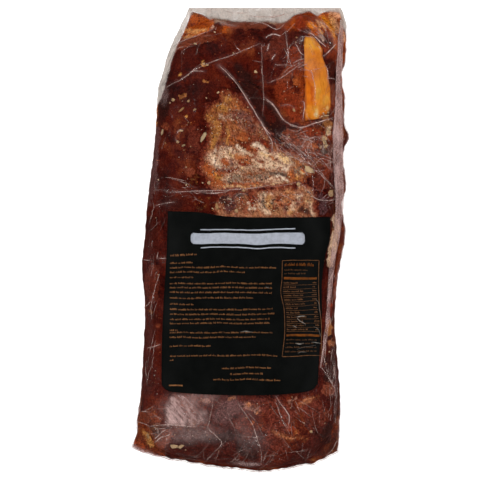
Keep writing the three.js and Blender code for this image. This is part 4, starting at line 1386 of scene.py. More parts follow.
# The strip's slab: its mesh, its gap to the film, how far its top falls over how wide an edge, how uneven
# it is, and its depth
STRIP_COLUMNS = 44
STRIP_ROWS = 140
STRIP_GAP = 0.35
STRIP_CROWN = 1.6
STRIP_ROUND = 4
STRIP_UNEVEN = 0.25
STRIP_DEPTH = 4.5


def add_fat_strip():
    """The orange strip: a slab over its plan outline whose top is rounded down towards its edges."""
    ends = [(0, STRIP_FOOT_Y), (1, STRIP_FOOT_Y + 2)], [(0, STRIP_HEAD_Y), (1, STRIP_HEAD_Y)]
    x, y = plan_grid((STRIP_LEFT, STRIP_RIGHT, *ends), STRIP_COLUMNS, STRIP_ROWS)
    x = x + 0.8 * noise(x, y, 7, 71)
    inside = inside_strip(x, y)
    crown = np.sqrt(np.clip(inside / STRIP_ROUND, 0, 1))
    uneven = 0.5 + 0.5 * fractal(x, y, 5, 73)
    top = film_top(x, y) - STRIP_GAP - STRIP_CROWN * (1 - crown) - STRIP_UNEVEN * uneven
    points, faces = sheet_between(x, y, top, film_top(x, y) - STRIP_DEPTH, STRIP_COLUMNS, STRIP_ROWS)
    layer = painted(x, y, np.tile(TONES["fat"], (len(x), 1)), strokes(FAT_MARKS), 601, wander=0.8, fray=0.5)
    tint = tinted(layer, "brown fat", 0.7 * ease(1.5, -0.3, inside + 0.9 * noise(x, y, 3, 75)))[:, :3]
    add_piece("fat_strip", points, faces, fat_paint(), {"tint": np.tile(tint, (2, 1))}, "pack")


# Bits under the film: the mesh of each, its gap to the film, and the thickness and the dark and light
# colours of the large ones

PEBBLE_RINGS = 3
PEBBLE_SEGMENTS = 7
BIT_GAP = 0.3
ONION_THICK = 0.5
LEAF_THICK = 0.35
ONION_COLOURS = ((0.26, 0.12, 0.04), (0.60, 0.42, 0.24))
LEAF_COLOURS = ((0.22, 0.12, 0.05), (0.45, 0.33, 0.2))
# Large bits where they lie: place, half length, half width, heading
ONION_FLAKES = [
    (55.6, 57.4, 4.6, 2.7, -32), (-54.5, 114.5, 1.5, 1.5, 0), (-42, 113, 1.2, 1.2, 0),
    (-25.5, 46.5, 1.8, 1.5, 90), (74, 37.5, 2.4, 3.2, 0), (3, 40, 1.5, 1, 0), (-48, 89, 2, 0.8, 10),
    (-51, 80, 1.3, 1.2, 0), (-54, -168.4, 3.4, 1.7, -15), (-48.6, -168.6, 2.6, 1.5, 20),
    (-75, -160, 5.5, 1.5, -70), (-36.5, 160, 1.3, 0.7, 10), (44, 105.5, 1.8, 1, -50),
    (12.6, 137, 1.5, 1, -30), (72, 89, 3.6, 1.2, 65), (65.8, 75.4, 1.9, 1.1, 70), (-3, 24, 1.7, 2, 0),
    (-19, 27.5, 3, 1.5, -75), (58, -156, 1.2, 0.9, 0), (-48, 106, 3, 0.9, 40), (-37, 106, 2, 0.6, 30),
    (-29.5, 143.6, 1.4, 1, 0), (-26.5, 142.4, 1, 0.8, 0), (68, 103, 1.1, 0.8, 0), (72, 104, 0.9, 0.7, 0),
    (66.5, 100.5, 1.3, 0.6, 20), (70.4, 101.4, 2.4, 0.8, 5), (47.5, 45.6, 2, 1.3, 60),
    (-18, 120, 1.2, 0.8, 30),
]
HERB_LEAVES = [
    (-30, 83.5, 5.2, 1.6, 61), (-46, 77, 1.8, 0.8, 30), (-63.5, 88, 3, 0.9, 80), (69.4, 80, 4, 0.9, -68),
]
# Small bits by kind: how many, how closely they keep to the crust, half length, and dark and light colour
SMALL_BITS = {
    "tan_crumbs": (240, 2.0, (0.4, 0.9), ((0.25, 0.09, 0.03), (0.6, 0.42, 0.26))),
    "white_grains": (180, 2.0, (0.22, 0.42), ((0.5, 0.36, 0.26), (0.85, 0.76, 0.66))),
    "pepper_grains": (170, 2.0, (0.3, 0.7), ((0.008, 0.004, 0.003), (0.05, 0.02, 0.012))),
    "paprika_grains": (300, 1.2, (0.3, 0.7), ((0.22, 0.03, 0.008), (0.42, 0.10, 0.02))),
}


def pebble_template(rings, segments):
    """A unit ball as a grid of rings between two poles, and its faces."""
    tilt = np.linspace(0, math.pi, rings + 2)[1:-1]
    turn = np.arange(segments) * 2 * math.pi / segments
    body = np.stack([
        np.outer(np.sin(tilt), np.cos(turn)), np.outer(np.sin(tilt), np.sin(turn)),
        np.outer(np.cos(tilt), np.ones(segments)),
    ], -1).reshape(-1, 3)
    points = np.concatenate([[(0, 0, 1)], body, [(0, 0, -1)]])
    last = len(points) - 1
    loops = 1 + np.arange(rings * segments).reshape(rings, segments)
    faces = [(0, loops[0, k], loops[0, (k + 1) % segments]) for k in range(segments)]
    for ring in range(rings - 1):
        faces += [(loops[ring, k], loops[ring + 1, k], loops[ring + 1, (k + 1) % segments],
                   loops[ring, (k + 1) % segments]) for k in range(segments)]
    faces += [(last, loops[-1, (k + 1) % segments], loops[-1, k]) for k in range(segments)]
    return points, faces


def scatter(name, places, sizes, material, seed, rough=0.25, headings=None):
    """Uneven pebbles at plan places, sizes being half lengths along, across and up, sunk a little under the
    film with their lengths along the headings, in degrees, or any way."""
    rng = np.random.default_rng(seed)
    template, faces = pebble_template(PEBBLE_RINGS, PEBBLE_SEGMENTS)
    count = len(places)
    turn = rng.uniform(0, 2 * math.pi, count)
    if headings is not None:
        turn = np.radians(headings)
    lumps = 1 + rough * rng.uniform(-1, 1, (count, len(template), 1))
    shapes = template * lumps * sizes[:, None, :]
    cos = np.cos(turn)[:, None]
    sin = np.sin(turn)[:, None]
    x = places[:, :1] + shapes[..., 0] * cos - shapes[..., 1] * sin
    y = places[:, 1:2] + shapes[..., 0] * sin + shapes[..., 1] * cos
    z = film_top(x, y) - BIT_GAP - sizes[:, 2:3] + shapes[..., 2]
    points = np.stack([x, y, z], -1).reshape(-1, 3)
    steps = np.arange(count) * len(template)
    all_faces = [tuple(index + step for index in face) for step in steps.tolist() for face in faces]
    shade = np.repeat(rng.uniform(0, 1, count), len(template))
    add_piece(name, points, all_faces, material, {"shade": shade}, "pack")


def crust_places(rng, count, power):
    """Plan places drawn by chance, kept more often where the crust is thick."""
    tries = rng.uniform((-78, -175), (80, 170), (count * 40, 2))
    x, y = tries.T
    odds = crust_field(x, y) ** power + 0.03
    odds = odds * (1 - under_label(x, y)) * (outness(x, y) < 0.95) * (1 - fat_strip_mask(x, y, 2))
    kept = tries[rng.uniform(0, 1, len(tries)) < odds]
    return kept[:count]


# White grains also lie close together: centre, reach, and how many of two numbers
WHITE_CLUSTERS = [
    ((-7, 57), (5, 1.6), (24, 2)), ((-10, 31), (5, 3.5), (26, 2)), ((68, 102), (3, 2), (14, 2)),
    ((9, 28), (3, 3), (12, 2)), ((-20, 60), (3, 4), (12, 2)),
]


def add_large_bits(name, table, thick, material, seed, rough):
    """Bits of one kind and thickness where a table says they lie."""
    x, y, length, width, heading = np.array(table).T
    sizes = np.stack([length, width, np.full(len(x), thick)], -1)
    scatter(name, np.stack([x, y], -1), sizes, material, seed, rough, heading)


def add_bits():
    """Spices and flakes by kind: large ones where they lie, small ones by a seeded draw over the crust."""
    rng = np.random.default_rng(5)
    onion = flake_paint("onion", *ONION_COLOURS)
    add_large_bits("onion_flakes", ONION_FLAKES, ONION_THICK, onion, 101, 0.35)
    herb = flake_paint("herb", *LEAF_COLOURS)
    add_large_bits("herb_leaves", HERB_LEAVES, LEAF_THICK, herb, 103, 0.15)
    for seed, (name, (count, power, limits, colours)) in enumerate(SMALL_BITS.items()):
        places = crust_places(rng, count, power)
        if name == "white_grains":
            places = np.concatenate([places] + [rng.normal(*cluster) for cluster in WHITE_CLUSTERS])
        half = rng.uniform(*limits, (len(places), 3)) * (1, 0.8, 0.6)
        scatter(name, places, half, flake_paint(name, *colours), 110 + seed)


# Film

# The middle of the side seam, from its head down
SEAM_LINE = [
    (83.3, 180), (81.7, 152), (80.8, 133), (80.6, 114), (80.6, 103), (80, 85), (80, 68), (80.4, 53),
    (81.6, 32), (79, 5), (75.3, -18), (74.2, -29), (72.6, -50), (71, -69), (68.5, -87), (65.4, -104),
]
# The pale strip along the foot's left, doubled film with a painted highlight, and the painted sheen over
# the foot crease with its wisp
FOOT_STRIP_HIGHLIGHT_LINE = [(-88, -168.5, 1.6), (-79, -173.5, 2), (-68, -177.5, 1.8), (-52, -181.5, 1)]
FOOT_SHEEN_OUTLINE = [
    (-60, -134), (-60, -151), (-34, -151.5), (-26, -149), (-26, -138), (-34, -127), (-55, -126),
]
SHEEN_WISP = [(-51, -127, 1), (-46, -128.5, 2), (-39, -133, 1.4)]
# Folds seen in the bag, some short ones standing for glints: half width, height, milkiness (partly painted
# highlight), corners
NAMED_FOLDS = [
    (0.4, 0.4, 0.2, (-64, 122), (-56, 127), (-49, 130), (-40, 136.6), (-32, 141), (-27, 143.4), (-17, 147),
     (-5, 151), (5, 155.4), (17, 160.4)), (0.3, 0.3, 0.35, (-41, 137), (-36, 137.6), (-29, 137.4)),
    (0.4, 0.6, 0.85, (-17, 142), (-5, 130), (6, 114), (15, 99), (22.6, 86), (26, 80), (26, 71)),
    (0.22, 0.3, 0.2, (-15, 142), (-3.5, 130), (7.2, 114.5)),
    (0.4, 0.4, 0.14, (17.6, 160), (18, 138), (19.3, 116), (18.5, 101)),
    (0.45, 0.6, 0.6, (20, 116), (26, 111), (30, 106), (33, 101), (36, 97), (40, 94.5), (46, 92.5),
     (50, 91.4), (58, 94.2), (64, 96), (77, 100)),
    (0.4, 0.5, 0.35, (21, 114), (26.6, 109.6), (31, 103.6), (35, 96.6)),
    (0.3, 0.4, 0.35, (36, 97), (42, 93), (47, 92), (52, 92.5)),
    (0.3, 0.4, 0.3, (38, 91), (44, 88.5), (48, 89), (52, 92)), (0.35, 0.4, 0.35, (42, 142), (29, 142.5)),
    (0.35, 0.5, 0.4, (42, 142), (39.8, 147), (38.6, 158), (37, 171)),
    (0.35, 0.5, 0.5, (45, 160), (50, 152), (53, 149.8)),
    (0.35, 0.5, 0.5, (43, 144), (49, 146.7), (53, 147.6)),
    (0.3, 0.5, 0.4, (47, 140), (52, 142.6), (55, 143)),
    (0.3, 0.4, 0.35, (53, 146.5), (46, 141), (34, 132.5), (22.6, 127.6)),
    (0.25, 0.3, 0.3, (50, 139.6), (55, 138.6), (58.5, 136), (60, 130), (61, 125), (61, 115)),
    (0.4, 0.6, 0.55, (53.5, 171), (59, 167.5), (65, 162), (70, 157.5)),
    (0.3, 0.4, 0.3, (59, 176), (68, 166), (72, 160)),
    (0.4, 0.5, 0.5, (78.5, 160), (75, 156.5), (72, 153), (67.5, 149.5)),
    (0.3, 0.4, 0.4, (68, 143.5), (71, 140), (71.6, 134), (72, 128)),
    (0.3, 0.4, 0.4, (70.5, 131.4), (76, 132), (81, 130)),
    (0.35, 0.5, 0.5, (50.3, 113), (52.2, 112), (52.2, 107), (51.4, 98)),
    (0.6, 0.4, 0.35, (26, 147), (29, 151)), (0.3, 0.4, 0.3, (40, 68.5), (50, 65), (59, 61)),
    (0.3, 0.4, 0.3, (63, 59), (70, 50), (77, 42)), (0.3, 0.4, 0.3, (60, 60), (66, 66), (78, 63)),
    (0.25, 0.3, 0.3, (48, 78), (55, 82), (62, 84), (67, 80)),
    (0.35, 0.5, 0.4, (-62, 41), (-59, 39), (-36, 39.8), (-10, 40.6), (15, 43), (34, 47)),
    (0.35, 0.5, 0.4, (49, 47), (56, 39), (63, 33), (74, 32.5), (84, 35)),
    (0.3, 0.4, 0.3, (-69, 28), (-61, 30), (-53, 31)), (0.3, 0.4, 0.3, (-80, -16.5), (-73, -16.5)),
    (0.3, 0.4, 0.3, (-66, -15), (-60, -15)), (0.25, 0.3, 0.3, (-79, -56), (-73, -50)),
    (0.3, 0.4, 0.35, (-76, -88), (-70, -87), (-65, -85)),
    (0.25, 0.3, 0.35, (-51, 86), (-50, 89), (-46, 90.5)), (0.25, 0.3, 0.3, (-53, 82.5), (-51, 80.5)),
    (0.35, 0.5, 0.3, (-22, -127), (-22.5, -135), (-25, -148), (-26, -153), (-15, -165), (-22, -174),
     (-30, -183)),
    (0.3, 0.4, 0.35, (-5, -125), (0, -135), (10, -150), (15, -165), (17.5, -175), (17, -183)),
    (0.22, 0.3, 0.2, (4, -137), (13, -148), (19, -160)),
    (0.4, 0.5, 0.4, (29, -127), (38, -140), (40, -143), (39, -153)),
    (0.35, 0.5, 0.4, (-85, -147.5), (-74, -152)), (0.3, 0.4, 0.35, (-81, -140), (-74, -140)),
    (0.3, 0.4, 0.3, (-70, -142), (-64, -146)), (0.35, 0.4, 0.4, (-75, -152), (-60, -150.5), (-28, -152.5)),
    (0.3, 0.4, 0.35, (-72, -152), (-67, -153.5), (-57, -153)),
    (0.3, 0.4, 0.35, (-67, -153.5), (-66.5, -159)), (0.5, 0.6, 0.5, (-70, -163), (-64, -157), (-58, -153)),
    (0.5, 0.6, 0.5, (-70, -165.5), (-65, -161.5), (-57, -158.5)),
    (0.3, 0.4, 0.3, (-60, -160), (-59.5, -164)), (0.3, 0.4, 0.3, (66, -103), (72, -112), (77.6, -122)),
    (0.3, 0.3, 0.3, (68, -95), (72, -110), (76, -118)), (0.3, 0.4, 0.35, (77, -100), (78, -115)),
    (0.35, 0.4, 0.45, (70, -80), (67.5, -90), (66.5, -100)),
    (0.7, 0.4, 0.4, (76, -25), (73, -35), (72, -45)), (0.4, 0.5, 0.4, (80, -163), (75, -172), (70, -177)),
    (0.35, 0.4, 0.3, (9, 176), (18, 177.5), (30, 172), (37, 177)),
    (0.35, 0.4, 0.25, (-56, 157), (-46, 163), (-34, 167), (-22, 172)),
    (0.5, 0.4, 0.5, (46, 187.4), (36, 184.4), (22, 182.4), (4, 183.4)),
    (0.4, 0.4, 0.45, (41, 187), (31, 183), (19, 180.6)),
    (0.4, 0.3, 0.4, (-14, 188), (-4, 185.6), (8, 186.4)), (0.25, 0.3, 0.2, (0, 43), (-18, 38), (-34, 38.5)),
    (0.3, 0.3, 0.3, (28, 81), (29.6, 76), (31, 71)), (0.25, 0.3, 0.25, (17, 98), (21, 90), (24, 83)),
    (0.5, 0.5, 0.4, (21, 165), (27, 168), (33, 166)), (0.6, 0.4, 0.35, (24, 160), (22, 154)),
    (0.22, 0.3, 0.3, (30.6, 86.4), (36.7, 81), (42.8, 74.2), (48.9, 69.6)),
    (0.25, 0.3, 0.36, (33.5, 86), (39.8, 80.6), (46.6, 74.9), (55, 68.1), (61.1, 62)),
    (0.22, 0.3, 0.42, (32.1, 73.4), (39.8, 69.6), (48.9, 64.3), (60.4, 61.2)),
    (0.2, 0.3, 0.28, (28.3, 79.5), (35.2, 74.2), (44.4, 67.3), (52, 62.7)),
    (0.25, 0.4, 0.4, (50.5, 73.4), (51.2, 78), (55, 81.8), (62.7, 84.1), (68.8, 82.6)),
    (0.2, 0.3, 0.3, (55, 75), (56.6, 78.7), (62.7, 81.8)),
    (0.2, 0.3, 0.26, (39.8, 68.8), (42.8, 73.4), (48.9, 76.5), (56.6, 76.5)),
    (0.2, 0.3, 0.26, (61.1, 61.2), (62.7, 65.8), (61.1, 70.4), (55, 73.4)),
    (0.25, 0.4, 0.4, (62.7, 71.1), (70.3, 67.8), (77, 65.6)),
    (0.25, 0.4, 0.4, (63.4, 68.1), (70.3, 61.2), (76.5, 55.6)),
    (0.25, 0.3, 0.34, (61.1, 57.1), (67.2, 51.8), (73.1, 45.4)),
    (0.25, 0.4, 0.4, (32.9, 109.3), (39.8, 110), (44.4, 107)),
    (0.18, 0.3, 0.22, (42, 80), (50, 70), (53, 61)), (0.35, 0.5, 0.8, (16.4, 98), (19.4, 92), (24.6, 86)),
    (0.25, 0.3, 0.35, (40.6, 86.6), (38.4, 84), (42, 81)),
]
# Points along a fold, and how far its milky halo, partly painted highlight, reaches
FOLD_STEPS = 36
FOLD_HALO = 1.5
# How far a ridge's feet lie in the surface, and what its height is raised by
RIDGE_SINK = 0.08
RIDGE_LEAST = 0.1


def curve(corners, count):
    """A smooth curve through plan corners by the length of its chords: points at even steps of that length,
    and the lengths."""
    line = np.array(corners, float)
    along = np.concatenate([[0], np.cumsum(np.hypot(*np.diff(line, axis=0).T))])
    t = np.linspace(0, along[-1], count)
    return np.stack([smooth(list(zip(along, line[:, k])), t) for k in range(2)], -1), t


def shaken(paths, amount, size, seed):
    """Paths whose points are moved about by an amount of noise."""
    x = paths[..., 0]
    y = paths[..., 1]
    return paths + amount * np.stack([noise(x, y, size, seed), noise(x, y, size, seed + 2)], -1)


def left_bare(x, y):
    """How wide the bare film is along the left edge."""
    return (5 - 1.6 * ease(172, 182, y)) * ease(104, 124, y) * ease(-24, -32, x)


def bag_inset(x, y):
    """How far a point lies inside the bag's side and foot edges."""
    left = smooth(LEFT_EDGE, y)
    right = smooth(RIGHT_EDGE, y)
    foot = smooth(FOOT_EDGE, (x - left) / (right - left))
    return np.minimum.reduce([x - left, right - x, y - foot])


# Fine creases gather in zones: centre, reach, heading and its spread in degrees, how many
FOLD_ZONES = {
    "fan beside the crust": ((54, 76), (20, 14), -38, 40, 130),
    "star by the strip": ((43, 147), (12, 14), 55, 80, 30),
    "header right": ((66, 168), (14, 9), -45, 25, 40),
    "header left": ((-42, 164), (12, 9), 25, 30, 14),
    "right flank": ((77, -92), (4, 55), 88, 9, 90),
    "right flank above": ((76, 60), (6, 60), 60, 50, 60),
    "left flank": ((-73, -10), (5, 90), 82, 18, 40),
    "foot left web": ((-66, -152), (14, 12), 20, 50, 50),
    "foot edge": ((0, -176), (60, 5), 30, 70, 80),
    "lower right": ((44, -142), (26, 18), 115, 30, 60),
    "above the label": ((0, 38), (60, 8), 5, 15, 22),
    "anywhere": ((0, 20), (75, 130), 20, 90, 60),
}


def random_folds(rng):
    """Short creases that bend a little: their paths, half widths, heights and milkiness."""
    starts = []
    headings = []
    for (px, py), reach, heading, spread, count in FOLD_ZONES.values():
        place = rng.normal((px, py), np.array(reach) * 0.7, (count * 3, 2))
        x, y = place.T
        kept = (under_label(x, y) < 0.1) & (outness(x, y) < 1.03) & (np.abs(y) < 186)
        place = place[kept][:count]
        starts.append(place)
        headings.append(np.radians(rng.normal(heading, spread * 0.6, len(place))))
    start = np.concatenate(starts)
    heading = np.concatenate(headings)
    count = len(start)
    length = rng.gamma(2.0, 4.5, count) + 3
    bend = rng.normal(0, 0.3, count)
    t = np.linspace(-0.5, 0.5, FOLD_STEPS)
    angle = heading[:, None] + bend[:, None] * t
    px = start[:, :1] + length[:, None] * t * np.cos(angle)
    py = start[:, 1:2] + length[:, None] * t * np.sin(angle)
    # How milky each crease is, partly a painted highlight
    milk = 0.03 + 0.42 * rng.uniform(0, 1, count) ** 2.5
    milk = milk * lerp(0.5, 1, ease(-160, -125, start[:, 1]))
    kept = (np.minimum(bag_inset(px, py), HEADER_Y - py).min(1) > 1.5) & (under_label(px, py).max(1) < 0.5)
    paths = np.stack([px, py], -1)
    widths = rng.uniform(0.12, 0.24, count)
    heights = rng.uniform(0.03, 0.14, count)
    return paths[kept], widths[kept], heights[kept], milk[kept]


def ridge_mesh(paths, half_widths, heights, surface):
    """Three-sided ridges along plan paths, their feet just in the surface and pointed at both ends."""
    tangent = np.gradient(paths, axis=1)
    tangent /= np.maximum(np.linalg.norm(tangent, axis=-1, keepdims=True), 1e-9)
    normal = np.stack([-tangent[..., 1], tangent[..., 0]], -1)
    taper = np.sin(np.linspace(0, math.pi, paths.shape[1])) ** 0.6
    width = half_widths[:, None] * (0.15 + 0.85 * taper)
    rise = heights[:, None] * taper
    corners = []
    for side, lift in ((-1, 0), (0.25, 1), (1, 0)):
        xy = paths + normal * (side * width)[..., None]
        z = surface(xy[..., 0], xy[..., 1]) - RIDGE_SINK + lift * (rise + RIDGE_LEAST)
        corners.append(np.concatenate([xy, z[..., None]], -1))
    points = np.stack(corners, 2).reshape(-1, 3)
    count, steps = paths.shape[:2]
    base = 3 * np.arange(count * steps).reshape(count, steps)
    start = base[:, :-1]
    end = base[:, 1:]
    faces = [np.stack([start + b, end + b, end + a, start + a], -1).reshape(-1, 4)
             for a, b in ((0, 1), (1, 2), (2, 0))]
    ends = np.concatenate([
        np.stack([base[:, 0] + k for k in (2, 1, 0)], -1),
        np.stack([base[:, -1] + k for k in (0, 1, 2)], -1),
    ])
    return points, np.concatenate(faces).tolist() + ends.tolist()


def fold_milk_and_highlight(x, y):
    """A faint milky band along each named fold, partly painted highlight, falling as exp(-(distance /
    FOLD_HALO)^2).
    """
    halo = np.zeros_like(x)
    for _, _, milk, *corners in NAMED_FOLDS:
        distance = to_segments(x, y, np.array(corners, float))[0].min(0)
        halo = np.maximum(halo, 0.12 * milk * np.exp(-((distance / FOLD_HALO) ** 2)))
    return halo


def bare_band(x, y):
    """1 on the bare film down the left edge near the header and at the header's right end."""
    left = left_bare(x, y) + 0.8 * noise(x, y, 7, 82)
    right = 3.2 * ease(166, 176, y) * ease(60, 74, x)
    width = np.maximum(left, right)
    return ease(width + 0.7, width - 0.7, bag_inset(x, y)) * ease(0.5, 2, width)


def foot_painted_sheen(x, y):
    """The painted sheen over the foot crease: a milky patch thickest low on its left, with a wisp across
    its head.
    """
    strength = lerp(0.68, 0.27, ease(-52, -30, x + 0.3 * (y + 140))) * lerp(0.7, 1, ease(-130, -146, y))
    body = strength * (1 + 0.3 * noise(x, y, 9, 89)) * patch(x, y, FOOT_SHEEN_OUTLINE, 3, 1.6, 88)
    return np.maximum(body, 0.5 * stroke(x, y, SHEEN_WISP, 1.2, 0.8, 90))


def film_haze(x, y, z):
    """Milkiness of the film: broad smears, part of them painted sheen and highlights, the bare lip, its
    very edge, and a little all over.
    """
    out = outness(x, y)
    beyond = np.maximum(out - 1, 0) * ROUND
    reach = smooth(HEADER_BARE, x) + 0.5 * noise(x, y, 6, 59)
    header = ease(reach + 2.2, reach + 0.2, HEADER_Y - y) * ease(-44, -41, x)
    lip = 0.02 * ease(0.2, 3, beyond) + 0.8 * header
    rim = 0.4 * ease(1.8, 0.3, bag_inset(x, y) + 0.8 * noise(x, y, 5, 84))
    rim = rim * (0.75 + 0.7 * noise(x, y, 12, 85)) * ease(6, 2, np.abs(z - seam_height(y)))
    # Bare film down the left, and the foot's pale strip: doubled film with a painted highlight
    strip = np.maximum(0.75 * bare_band(x, y), 0.5 * stroke(x, y, FOOT_STRIP_HIGHLIGHT_LINE, 0.7, 0.8, 86))
    upper = ease(8, 26, z - seam_height(y))
    smears_and_sheen = np.maximum.reduce([spots(x, y, HAZE_AND_SHEEN_SPOTS, 5, 81), fold_milk_and_highlight(x, y), foot_painted_sheen(x, y)]) * upper
    cloud = 0.006 * ease(-0.1, 0.6, fractal(x, y, 30, 83)) + 0.009 * ease(-40, -150, y)
    return np.clip(smears_and_sheen + lip + np.maximum(rim, strip) + cloud, 0, 0.95)


def film_under(x, y):
    """The lower film, a little uneven towards the rim."""
    return smooth_under(x, y) + 0.25 * ease(0.6, 0.9, outness(x, y)) * fractal(x, y, 8, 87)


def add_film(material):
    """The bag: one closed film round the roast."""
    points, faces = envelope(film_top, film_under, lambda x, y, lip: np.ones_like(x))
    x, y, z = points.T
    # smear marks where the painted sheen over the foot crease lies
    fields = {
        "haze": film_haze(x, y, z), "shine": np.zeros(len(points)), "bare": bare_band(x, y),
        "smear": ease(0.02, 0.12, foot_painted_sheen(x, y)),
    }
    add_piece("film_bag", points, faces, material, fields, "pack")


def add_folds(material):
    """The folds that stand up from the film: those seen in it, and fine ones by chance."""
    named = np.array([curve(corners, FOLD_STEPS)[0] for _, _, _, *corners in NAMED_FOLDS])
    named_sizes = np.array([fold[:3] for fold in NAMED_FOLDS]).T
    small, *small_sizes = random_folds(np.random.default_rng(7))
    paths = shaken(np.concatenate([named, small]), 0.35, 5, 91)
    widths, heights, milk = np.concatenate([named_sizes, small_sizes], axis=1)
    points, faces = ridge_mesh(paths, widths, heights, film_top)
    x = paths[..., 0]
    y = paths[..., 1]
    # Each fold's milk, broken up along it: partly the film's milkiness, partly a painted highlight
    broken = 0.95 + 0.9 * noise(x, y, 4, 94) + 0.5 * noise(x, y, 11, 96)
    haze = np.clip(milk[:, None] * broken, 0.01, 0.95)
    fields = {"haze": np.repeat(haze.ravel(), 3), "shine": np.full(len(points), 0.5)}
    add_piece("film_folds", points, faces, material, fields, "pack", flat=True)


# How far the seam may fall for each millimetre outwards
FIN_SLOPE = 1.2
# Points in the window that levels the seam along its length, and how far it may stand off the film for that
SEAM_WINDOW = 121
SEAM_REACH = 3.5
SEAM_STEPS = 420
SEAM_COLUMNS = 14
SEAM_THICK = 0.4
# Half width and milkiness of the seam by the share of its length, from its head
SEAM_HALF = [
    (0, 1.4), (0.07, 2.3), (0.2, 2.6), (0.27, 3.5), (0.33, 4.3), (0.45, 3.9), (0.56, 3.2), (0.66, 2.5),
    (0.75, 1.9), (0.93, 1.3), (1, 0.3),
]
SEAM_MILK = [(0, 0.38), (0.5, 0.38), (0.57, 0.3), (0.66, 0.25), (1, 0.26)]


def add_side_seam(material):
    """The welded seam: a thin crimped ribbon joined to the flank along its inner edge, that falls away
    outwards no steeper than FIN_SLOPE and narrows to a point at its foot."""
    path, t = curve(SEAM_LINE, SEAM_STEPS + 1)
    tangent = np.gradient(path, axis=0)
    tangent /= np.linalg.norm(tangent, axis=1, keepdims=True)
    normal = np.stack([tangent[:, 1], -tangent[:, 0]], -1)
    share = t / t[-1]
    half = smooth(SEAM_HALF, share) + 0.5 * noise(t, 0 * t, 11, 95)
    side = np.linspace(1, -1, SEAM_COLUMNS + 1)
    x = (path[:, :1] - normal[:, :1] * half[:, None] * side).ravel()
    y = (path[:, 1:2] - normal[:, 1:2] * half[:, None] * side).ravel()
    inner = film_top(path[:, 0] - half, path[:, 1])
    window = np.hanning(SEAM_WINDOW)
    padded = np.pad(inner, SEAM_WINDOW // 2, "edge")
    level = np.convolve(padded, window / window.sum(), "valid")[:len(inner)]
    inner = np.clip(level, inner, inner + SEAM_REACH)
    rows = (t, half, inner, smooth(SEAM_MILK, share))
    t, half, inner, milk = (np.repeat(values, SEAM_COLUMNS + 1) for values in rows)
    across = np.tile(side, SEAM_STEPS + 1)
    fall = inner - FIN_SLOPE * half * (1 + across)
    crimp = 0.10 * np.cos(across * 9) + 0.25 * noise(across * 3, t, 5, 97)
    top = np.maximum(film_top(x, y), fall) + (0.35 + crimp) * (1 - across**4) + 0.06
    points, faces = sheet_between(x, y, top, top - SEAM_THICK, SEAM_COLUMNS, SEAM_STEPS)
    haze = milk + 0.05 * np.cos(across * 9) + 0.24 * noise(across * 3, t, 11, 99)
    haze = haze + 0.22 * noise(across * 6, 0.15 * t, 2.2, 98)
    fields = {"haze": np.tile(np.clip(haze, 0.12, 0.9), 2), "shine": np.full(len(points), 0.06)}
    add_piece("side_seam", points, faces, material, fields, "pack")


# Label and its print


def label_top(x, y):
    """The sticker's upper face: the smooth film, the gap, its thickness, and crinkles towards its sides."""
    side = ease(30, 62, np.abs(x - 4))
    crinkle = 0.10 * np.abs(noise(x, y * 0.35, 6, 121)) * side + 0.12 * fractal(x, y, 22, 123)
    return smooth_top(x, y) + LABEL_GAP + LABEL_THICK * 0.6 + crinkle


def add_label():
    """The sticker: a sheet over its plan outline, a little above the film."""
    outline = (LABEL_LEFT, LABEL_RIGHT, LABEL_FOOT, LABEL_TOP)
    x, y = plan_grid(outline, LABEL_COLUMNS, LABEL_ROWS)
    points, faces = sheet_between(x, y, label_top(x, y), smooth_top(x, y) + 0.15, LABEL_COLUMNS, LABEL_ROWS)
    add_piece("label_sheet", points, faces, label_paint(), {}, "label")


# How far the ink stands above the label, and its thickness
INK_RISE = 0.07
INK_THICK = 0.12

# The panel: its sides, how far its rules stay inside them, its rows of figures, its other rows of small
# print by y, and how many short pieces its left and right sides have
PANEL_LEFT = 34.4
PANEL_RIGHT = 65.5
PANEL_TOP = -16.5
PANEL_FOOT = -94.5
PANEL_MARGIN = 1.6
FIGURES_Y = -34.6
FIGURES_PITCH = 3.45
FIGURES_ROWS = 12
NOTE_ROWS = (-24.4, -27.2, -81.5, -84.6, -87.8, -91)
SIDE_PIECES = 80
# How far the creased sticker carries the panel's left and right sides out of line, by y
LEFT_SIDE_SWAY = [(-16, 0.1), (-32, -0.3), (-42, -1.3), (-57, 1.6), (-76, 1.8), (-95, -0.3)]
RIGHT_SIDE_SWAY = [(-16, -1.3), (-50, -1.4), (-70, 0.9), (-95, 0.6)]


def panel_sway(x, y):
    """How far a point of the panel is carried across: the sway of its two sides, shared out between
    them."""
    share = np.clip((x - PANEL_LEFT) / (PANEL_RIGHT - PANEL_LEFT), 0, 1)
    return lerp(smooth(LEFT_SIDE_SWAY, y), smooth(RIGHT_SIDE_SWAY, y), share) * ease(30, 33, x)


def ink_bars(bars, columns):
    """Bars of ink as (x from, x to, y middle, height, press), each a closed sheet with a few cells along,
    swayed out of line as the sticker creeps."""
    bars = np.asarray(bars, float)
    u, v = grid_points(np.linspace(0, 1, columns + 1), np.linspace(-0.5, 0.5, 2))
    x = lerp(bars[:, :1], bars[:, 1:2], u)
    y = bars[:, 2:3] + bars[:, 3:4] * v
    sway = 0.5 * noise(x, y, 34, 125) + panel_sway(x, y)
    x, y = x + sway, y + 0.9 * noise(x, y, 25, 121) + 0.3 * noise(x, y, 9, 123)
    top = label_top(x, y) + INK_RISE
    count = len(u)
    points = np.concatenate([np.stack([x, y, top], -1), np.stack([x, y, top - INK_THICK], -1)], 1)
    border = border_loop(columns, 1)
    one = np.concatenate([
        grid_faces(columns, 1), grid_faces(columns, 1, count)[:, ::-1], band_faces(border, border + count),
    ])
    faces = (one[None] + (2 * count * np.arange(len(bars)))[:, None, None]).reshape(-1, 4)
    return points.reshape(-1, 3), faces


